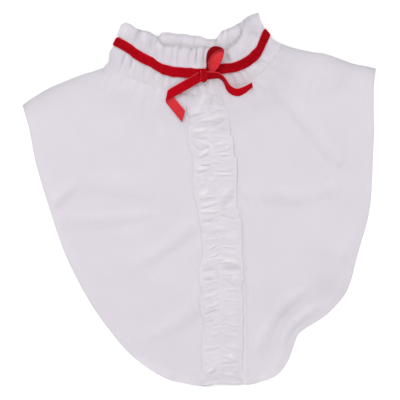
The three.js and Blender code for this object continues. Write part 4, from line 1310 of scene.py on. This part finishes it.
# How much sheen is painted on the pile, or below nought how much shade, at places along each piece
sheenAlongPieces = {
    "neck": ((-85, -60, 0, 70), (0.1, 0.3, 0.25, 0.0)),
    "rightTail": ((0, 0.4, 0.6, 1), (0.3, 0.35, 0.75, 0.7)),
    "leftTail": (0.3, 0.6),  # at its start and past its fold
    "loop": -0.6,
    "knot": 0.25,
}
# How far up the ribbon's bends are, in millimetres, at places across the photo
ribbonBends = rowsOf("across up", [
    (112, 0), (124, 0.8), (131, 0.6), (136, -0.8), (152, -0.2), (158, -1.4), (163, -2.1), (172, -1.8),
    (182, -0.7), (192, 0),
])


bareFrom = 1 - ribbon["selvedge"] / (ribbon["width"] / 2)  # where the selvedge begins, as a share of its half
# Shares across it, with a step between the pile and each selvedge
acrossPile = np.linspace(-1, 1, 13) * (bareFrom - 0.035)
ribbonAcross = np.concatenate([[-1, -bareFrom - 0.01], acrossPile, [bareFrom + 0.01, 1]])


def pileHeight(across):
    rounded = np.sqrt(np.clip(1 - (np.abs(across) / (bareFrom - 0.02)) ** 8, 0, 1))
    high = np.where(np.abs(across) < bareFrom - 0.03, 0.45 + 0.55 * rounded, 0)
    return ribbon["base"] + ribbon["pile"] * high


# The pile's painted sheen, given for each piece, is a share; below nought it is painted shade
def ribbonWall(name, foot, crest, brushed, facing=(0, 0, 1), ripple=0.0):
    # A ribbon between two edges, given as lines with the same number of points
    t = ((ribbonAcross + 1) / 2)[:, None, None]
    grid = foot[None] * (1 - t) + crest[None] * t
    waves = ripple * noiseAlong(lengths(foot) / 7, ribbon["rippleSeed"])[None, :, None]
    grid = grid + normalsOf(grid) * (waves * np.cos(ribbonAcross * 2)[:, None, None])
    return ribbonFromGrid(name, grid, facing, brushed)


def ribbonFromGrid(name, grid, facing, brushed, pile=1.0):
    made = wall(name, grid, pileHeight(ribbonAcross)[:, None] * pile, ribbon["back"], ribbonSides,
                np.broadcast_to(brushed, grid.shape[:2]), facing)
    # The bare selvedges show the ribbon's woven ground
    faces = np.zeros(len(made.data.polygons), np.int32)
    made.data.polygons.foreach_get("material_index", faces)
    rows, columns = grid.shape[:2]
    row = np.arange((rows - 1) * (columns - 1)) // (columns - 1)
    faces[:len(row)] = np.where((row == 0) | (row == rows - 2), 2, 0)
    made.data.polygons.foreach_set("material_index", faces)
    return made


def ringOutwards(angle, v):
    step = 0.01
    around = ringPoint(angle + step, v) - ringPoint(angle - step, v)
    up = ringPoint(angle, v + step) - ringPoint(angle, v - step)
    n = np.cross(up, around)
    return n / np.linalg.norm(n, axis=-1, keepdims=True)


def makeNeckRibbon():
    start, end = ribbon["neckEnds"]
    angle = np.concatenate([np.radians(np.linspace(start, 90, 5))[:-1], evenRing(1400, 0)[0]])
    angle = angle[angle <= math.radians(end)]

    def ringAt(v):
        return ringPoint(angle, np.full(angle.shape, v))

    # Half its width as a share of the collar's height, which differs round the ring
    tall = np.linalg.norm(ringAt(ribbonShare + 0.05) - ringAt(ribbonShare - 0.05), axis=1) / 0.1
    tall = np.interp(np.arange(len(tall)), np.arange(0, len(tall), 70), tall[::70])
    half = ribbon["neckWider"] * ribbon["width"] / 2 / tall
    middle = ringAt(ribbonShare)
    run, across = lengths(middle), middle[:, 0]
    pinch = 1 - bell(np.minimum(run, run[-1] - run), *ribbon["endPinch"])
    (far, length), (smallFar, smallLength) = ribbon["sways"]
    sway = far * noiseAlong(run / length, 71) + smallFar * noiseAlong(run / smallLength, 72)
    places = [placed(row["across"], 0)[0] for row in ribbonBends]
    sway += np.interp(across, places, column(ribbonBends, "up")) / collarHeight * (np.sin(angle) > -0.2)
    lift = ribbon["offset"] + ribbon["lift"][0] * noiseAlong(run / ribbon["lift"][1], 73, 5)
    edges = []
    for side in (-1, 1):
        v = ribbonShare + sway + side * half * pinch
        edges.append(ringPoint(angle, v) + ringOutwards(angle, v) * lift[:, None])
    keep = np.linspace(0, len(angle) - 1, 520).astype(int)
    brushed = np.interp(across[keep], *sheenAlongPieces["neck"])
    return ribbonWall("neckRibbon", edges[0][keep], edges[1][keep], brushed, ripple=ribbon["ripple"])


def rowsToLine(rows, key, count):
    return atShare(smoothLine(column(rows, key), 30), np.linspace(0, 1, count))


# Both edges of the loop, from the knot round and back to it, millimetres
loopRows = rowsOf("foot crest", [
    ((8.6, 135.2, 14.6), (10.6, 136.4, 16.6)),
    ((8.0, 142.6, 15.4), (9.6, 142.8, 21.2)),
    ((7.8, 149.6, 15.8), (11.3, 147.3, 21.4)),
    ((9.2, 156.0, 16.0), (14.0, 151.5, 21.2)),
    ((12.6, 159.8, 16.0), (17.3, 154.2, 21.2)),
    ((17.4, 161.2, 16.0), (20.6, 156.2, 21.4)),
    ((22.2, 159.9, 15.8), (23.6, 157.0, 21.8)),
    ((23.8, 158.9, 15.3), (26.0, 156.3, 21.8)),
    ((16.8, 156.9, 18.0), (26.0, 152.4, 20.6)),
    ((12.2, 150.6, 18.8), (24.6, 147.4, 19.6)),
    ((10.0, 143.6, 18.0), (22.2, 142.6, 18.2)),
    ((9.2, 137.2, 15.6), (18.8, 137.0, 16.6)),
    ((9.4, 132.8, 14.4), (14.6, 133.2, 15.6)),
])
# The middle of the right tail from the knot on, and how far it is turned: 0 is flat, 90 on edge
rightTailRows = rowsOf("middle roll", [
    ((6.6, 130.4, 14.8), 28),
    ((13.7, 130.6, 15.8), 42),
    ((18.9, 130.4, 15.6), 48),
    ((23.1, 128.8, 14.8), 63),
    ((26.7, 125.5, 13.8), 69),
    ((29.4, 120.9, 12.8), 66),
    ((32.2, 116.8, 11.6), 50),
    ((35.9, 114.2, 10.6), 42),
    ((40.9, 113.2, 10.2), 38),
    ((46.2, 115.1, 10.4), 46),
    ((51.4, 118.3, 11.0), 58),
    ((55.7, 121.0, 11.6), 64),
])
rightTailCut = (1.3, 0.82)  # how far its end is cut aslant, and from what share of its length on
leftTail = {
    "start": (2.1, 129.7),
    "heading": 209.4,  # degrees from the photo's right, turning to its top
    "crease": 39.6,  # where it folds over, from its start
    "creaseHeading": 259.4,
    "length": 69.0,
    "slant": 3.4,  # how far its end is cut aslant
    "bend": 0.8,  # radius of the fold
    "startHeight": 14.8,
    "creaseHeight": 9.8,
    "endHeight": 9.4,
    "endTilt": 30,
    "endLift": 1.2,
}
knot = {
    "waist": 3.2,  # half its width
    "round": 0.75,  # 1 is a circle seen from the side, less is squarer
    "moved": (-0.3, -0.6, 0.1),  # its middle, from the middle of its solid
    "inside": 0.5,  # how far it stays inside the solid's box
    "bulge": (1.4, 0.85),  # how far it swells between its edges, and how far they lie in
    "grooves": (0.22, 9),  # high, and how close
    "belly": 0.8,  # how far its side towards the hem swells out, midway between its edges
    "pile": 0.8,
    "gap": 0.06,  # left between its ends, in radians
}


def makeLoop():
    foot, crest = (rowsToLine(loopRows, key, 150) for key in ("foot", "crest"))
    return ribbonWall("bowLoop", foot, crest, sheenAlongPieces["loop"], (-1, 0, 0.3))


def makeRightTail():
    share = np.linspace(0, 1, 130)
    middle = rowsToLine(rightTailRows, "middle", len(share))
    roll = np.interp(share, np.linspace(0, 1, len(rightTailRows)), column(rightTailRows, "roll"))
    roll = np.radians(roll)
    run = np.gradient(middle, axis=0)
    run /= np.linalg.norm(run, axis=1, keepdims=True)
    flat = np.stack([-run[:, 1], run[:, 0], 0 * roll], -1)
    flat /= np.linalg.norm(flat, axis=1, keepdims=True)
    upright = np.cross(run, flat)
    wide = (flat * np.cos(roll)[:, None] + upright * np.sin(roll)[:, None]) * ribbon["width"] / 2
    # The end is cut straight up the photo
    cut = rightTailCut[0] * run * smoothStep(share, rightTailCut[1], 1)[:, None]
    brushed = np.interp(share, *sheenAlongPieces["rightTail"])
    return ribbonWall("rightTail", middle - wide - cut, middle + wide + cut, brushed)


def makeLeftTail():
    t = leftTail

    def turned(degrees):
        return np.array([math.cos(math.radians(degrees)), math.sin(math.radians(degrees))])

    run, side = turned(t["heading"]), turned(t["heading"] + 90)
    crease, outward = turned(t["creaseHeading"]), turned(t["creaseHeading"] - 90)
    hinge = np.array(t["start"]) + run * t["crease"]
    along = np.linspace(0, t["length"], 170)
    settle = smoothStep(along, t["crease"], t["length"])
    height = mix(t["startHeight"], t["creaseHeight"], smoothStep(along, 0, t["crease"]))
    height = mix(height, t["endHeight"], settle)
    bent = np.zeros((len(ribbonAcross), len(along), 3))
    for k, share in enumerate(ribbonAcross):
        slant = share * t["slant"] * smoothStep(along, t["crease"] + 8, t["length"])
        flat = np.array(t["start"]) + (along + slant)[:, None] * run + share * side * ribbon["width"] / 2
        past, down = (flat - hinge) @ outward, (flat - hinge) @ crease
        bend = np.clip(past / t["bend"], 0, math.pi)
        beyond = np.maximum(0, past - math.pi * t["bend"])
        reach = np.where(past <= 0, past, t["bend"] * np.sin(bend) - beyond)
        drop = np.where(past <= 0, 0, t["bend"] * (1 - np.cos(bend)))
        bent[k, :, :2] = hinge + down[:, None] * crease + reach[:, None] * outward
        tilt = math.sin(math.radians(t["endTilt"])) * settle * share * ribbon["width"] / 2
        bent[k, :, 2] = height - drop - tilt + t["endLift"] * settle
    brushed = np.interp(along, (0, t["crease"]), sheenAlongPieces["leftTail"])
    return ribbonFromGrid("leftTail", bent, (0, 0, 1), brushed)


def makeKnot():
    # The ribbon wrapped once round the tie, pinched narrower than its width
    low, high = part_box("bow_knot")
    middle = (low + high) / 2 / mm
    size = (high - low) / mm
    turn = np.linspace(0, 2 * math.pi, 90, endpoint=False)
    turn = np.append(turn, turn[0] + 2 * math.pi - knot["gap"])

    def rounded(value):
        return np.sign(value) * np.abs(value) ** knot["round"]

    across = ribbonAcross[:, None]
    inner = 1 - across**2
    waist = knot["waist"] * (1 + 0.12 * np.cos(turn) ** 2)
    groove, close = knot["grooves"]
    bulge = knot["bulge"][0] * inner - knot["bulge"][1]
    bulge = bulge + groove * np.cos(across * close + 0.6 * np.sin(turn)) * inner
    left, down, up = knot["moved"]
    y = middle.y + down + (size.y / 2 - knot["inside"] + bulge) * rounded(np.cos(turn))
    y -= knot["belly"] * np.clip(-np.cos(turn), 0, 1) * (1 - np.abs(across))
    z = middle.z + up + (size.z / 2 - knot["inside"] + bulge) * rounded(np.sin(turn))
    x = middle.x + left + waist * across + 0.25 * np.sin(turn)
    return ribbonFromGrid("bowKnot", np.dstack([x, y, z]), (0, 1, 0), sheenAlongPieces["knot"], knot["pile"])


neckRibbon = makeNeckRibbon()
bowLoop = makeLoop()
rightTail = makeRightTail()
leftTailPiece = makeLeftTail()
bowKnot = makeKnot()
print("ribbon and bow tied")

# Rows of stitches along the hems of the fronts
stitch = {"pitch": 2.7, "length": 1.9, "thick": 0.32}


def stitchTree():
    tree, n, given = newTree("stitches", {
        "Lines": "Geometry", "Pitch": "Float", "Length": "Float", "Thickness": "Float", "Thread": "Material",
    }, "Stitches")
    curves = n.out(n.add("GeometryNodeMeshToCurve", Mesh=n.out(given, "Lines")))
    pitch = n.out(given, "Pitch")
    spaced = n.out(n.add("GeometryNodeResampleCurve", {"mode": "LENGTH"}, Curve=curves, Length=pitch))
    bead = n.out(n.add("GeometryNodeMeshUVSphere", Segments=6, Rings=5, Radius=0.5), "Mesh")
    thick = n.out(given, "Thickness")
    size = n.out(n.add("ShaderNodeCombineXYZ", X=thick, Y=thick, Z=n.out(given, "Length")))
    tangent = n.out(n.add("GeometryNodeInputTangent"))
    turned = n.out(n.add("FunctionNodeAlignRotationToVector", {"axis": "Z"}, Vector=tangent), "Rotation")
    laid = n.add("GeometryNodeInstanceOnPoints", Points=spaced, Instance=bead, Rotation=turned, Scale=size)
    endTree(n, n.out(laid), n.out(given, "Thread"))
    return tree


stitches = stitchTree()


def sewn(name, line):  # stitches along a line of points on the cloth, in millimetres
    mesh = bpy.data.meshes.new(name)
    mesh.from_pydata([tuple(p * mm) for p in line], [(k, k + 1) for k in range(len(line) - 1)], [])
    made = addObject(name, mesh)
    runTree(made, stitches, {"Pitch": stitch["pitch"] * mm, "Length": stitch["length"] * mm,
                             "Thickness": stitch["thick"] * mm, "Thread": thread})
    made.data.polygons.foreach_set("use_smooth", np.ones(len(made.data.polygons), bool))
    return made


stitchedRow = bib["rows"] + bib["stitchedRow"]
upperStitches = sewn("upperFrontStitches", upperTop[stitchedRow])
lowerStitches = sewn("lowerFrontStitches", lowerTop[stitchedRow])
print("hems sewn")

# Each piece with the solid that it replaces, its flat size and area in metres, how it is held, and what it
# rests on
cloth = [
    (backPanel, "back_panel", (0.36, 0.36), 0.098, "laid", ["root"]),
    (lowerFront, "lower_front", (0.21, 0.36), 0.054, "laid", ["backPanel"]),
    (upperFront, "upper_front", (0.25, 0.34), 0.062, "laid", ["backPanel"]),
    (collarFrill, "collar_frill", (0.5, 0.053), None, "gathered", ["backPanel"]),
    (frontFrill, "front_frill", (0.4, 0.046), None, "gathered", ["upperFront"]),
    (neckRibbon, "neck_ribbon", (0.37, 0.01), None, "laid", ["collarFrill"]),
    (bowLoop, "bow_loop", (0.062, 0.01), None, "folded", ["neckRibbon"]),
    (bowKnot, "bow_knot", (0.034, 0.01), None, "folded", ["neckRibbon"]),
    (rightTail, "right_tail", (0.062, 0.01), None, "laid", ["collarFrill"]),
    (leftTailPiece, "left_tail", (0.066, 0.01), None, "folded", ["upperFront"]),
]
for piece, node, flat, area, held, under in cloth:
    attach(piece, "root")
    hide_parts(node)
    [] if under == ["root"] else under
for piece in (upperStitches, lowerStitches):
    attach(piece, "root")


# The table, the light and the camera
view = {
    "middle": (0.00105, 0.0005),
    "distance": 2.34,
    "lens": 200,
    "frameWidth": 0.42,
    "clothHeight": 0.003,  # the height at which the frame has that width
}
light = {"place": (-0.75, 2.1, 2.8), "size": 2.8, "watts": 52, "sky": 0.82}
tableLook = {
    "half": 4.0,
    "surface": {
        "Base Color": (0.93, 0.93, 0.93, 1),
        "Emission Color": (1, 1, 1, 1),
        "Emission Strength": 0.12,  # a lit table
        "Roughness": 0.9,
        "Specular IOR Level": 0.1,
    },
}


def makeTable():
    mesh = bpy.data.meshes.new("table")
    r = tableLook["half"]
    mesh.from_pydata([(-r, -r, 0), (r, -r, 0), (r, r, 0), (-r, r, 0)], [], [(0, 1, 2, 3)])
    mesh.materials.append(newMaterial("paleTable", tableLook["surface"])[0])
    addObject("table", mesh)


def makeWindow():
    lamp = bpy.data.lights.new("window", "AREA")
    lamp.shape = "DISK"
    lamp.size = light["size"]
    lamp.energy = light["watts"]
    made = addObject("window", lamp)
    made.location = light["place"]
    made.rotation_euler = (-Vector(light["place"])).to_track_quat("-Z", "Y").to_euler()


makeTable()
makeWindow()
world = bpy.data.worlds.new("studio")
world.use_nodes = True
background = world.node_tree.nodes["Background"]
background.inputs["Color"].default_value = (1, 1, 1, 1)
background.inputs["Strength"].default_value = light["sky"]
bpy.context.scene.world = world
bpy.context.scene.view_settings.view_transform = "Standard"

camera = bpy.data.cameras.new("camera")
camera.sensor_width = view["frameWidth"] * view["lens"] / (view["distance"] - view["clothHeight"])
camera.lens = view["lens"]
cameraObject = addObject("camera", camera)
cameraObject.location = (*view["middle"], view["distance"])
bpy.context.scene.camera = cameraObject
print("camera and light set")
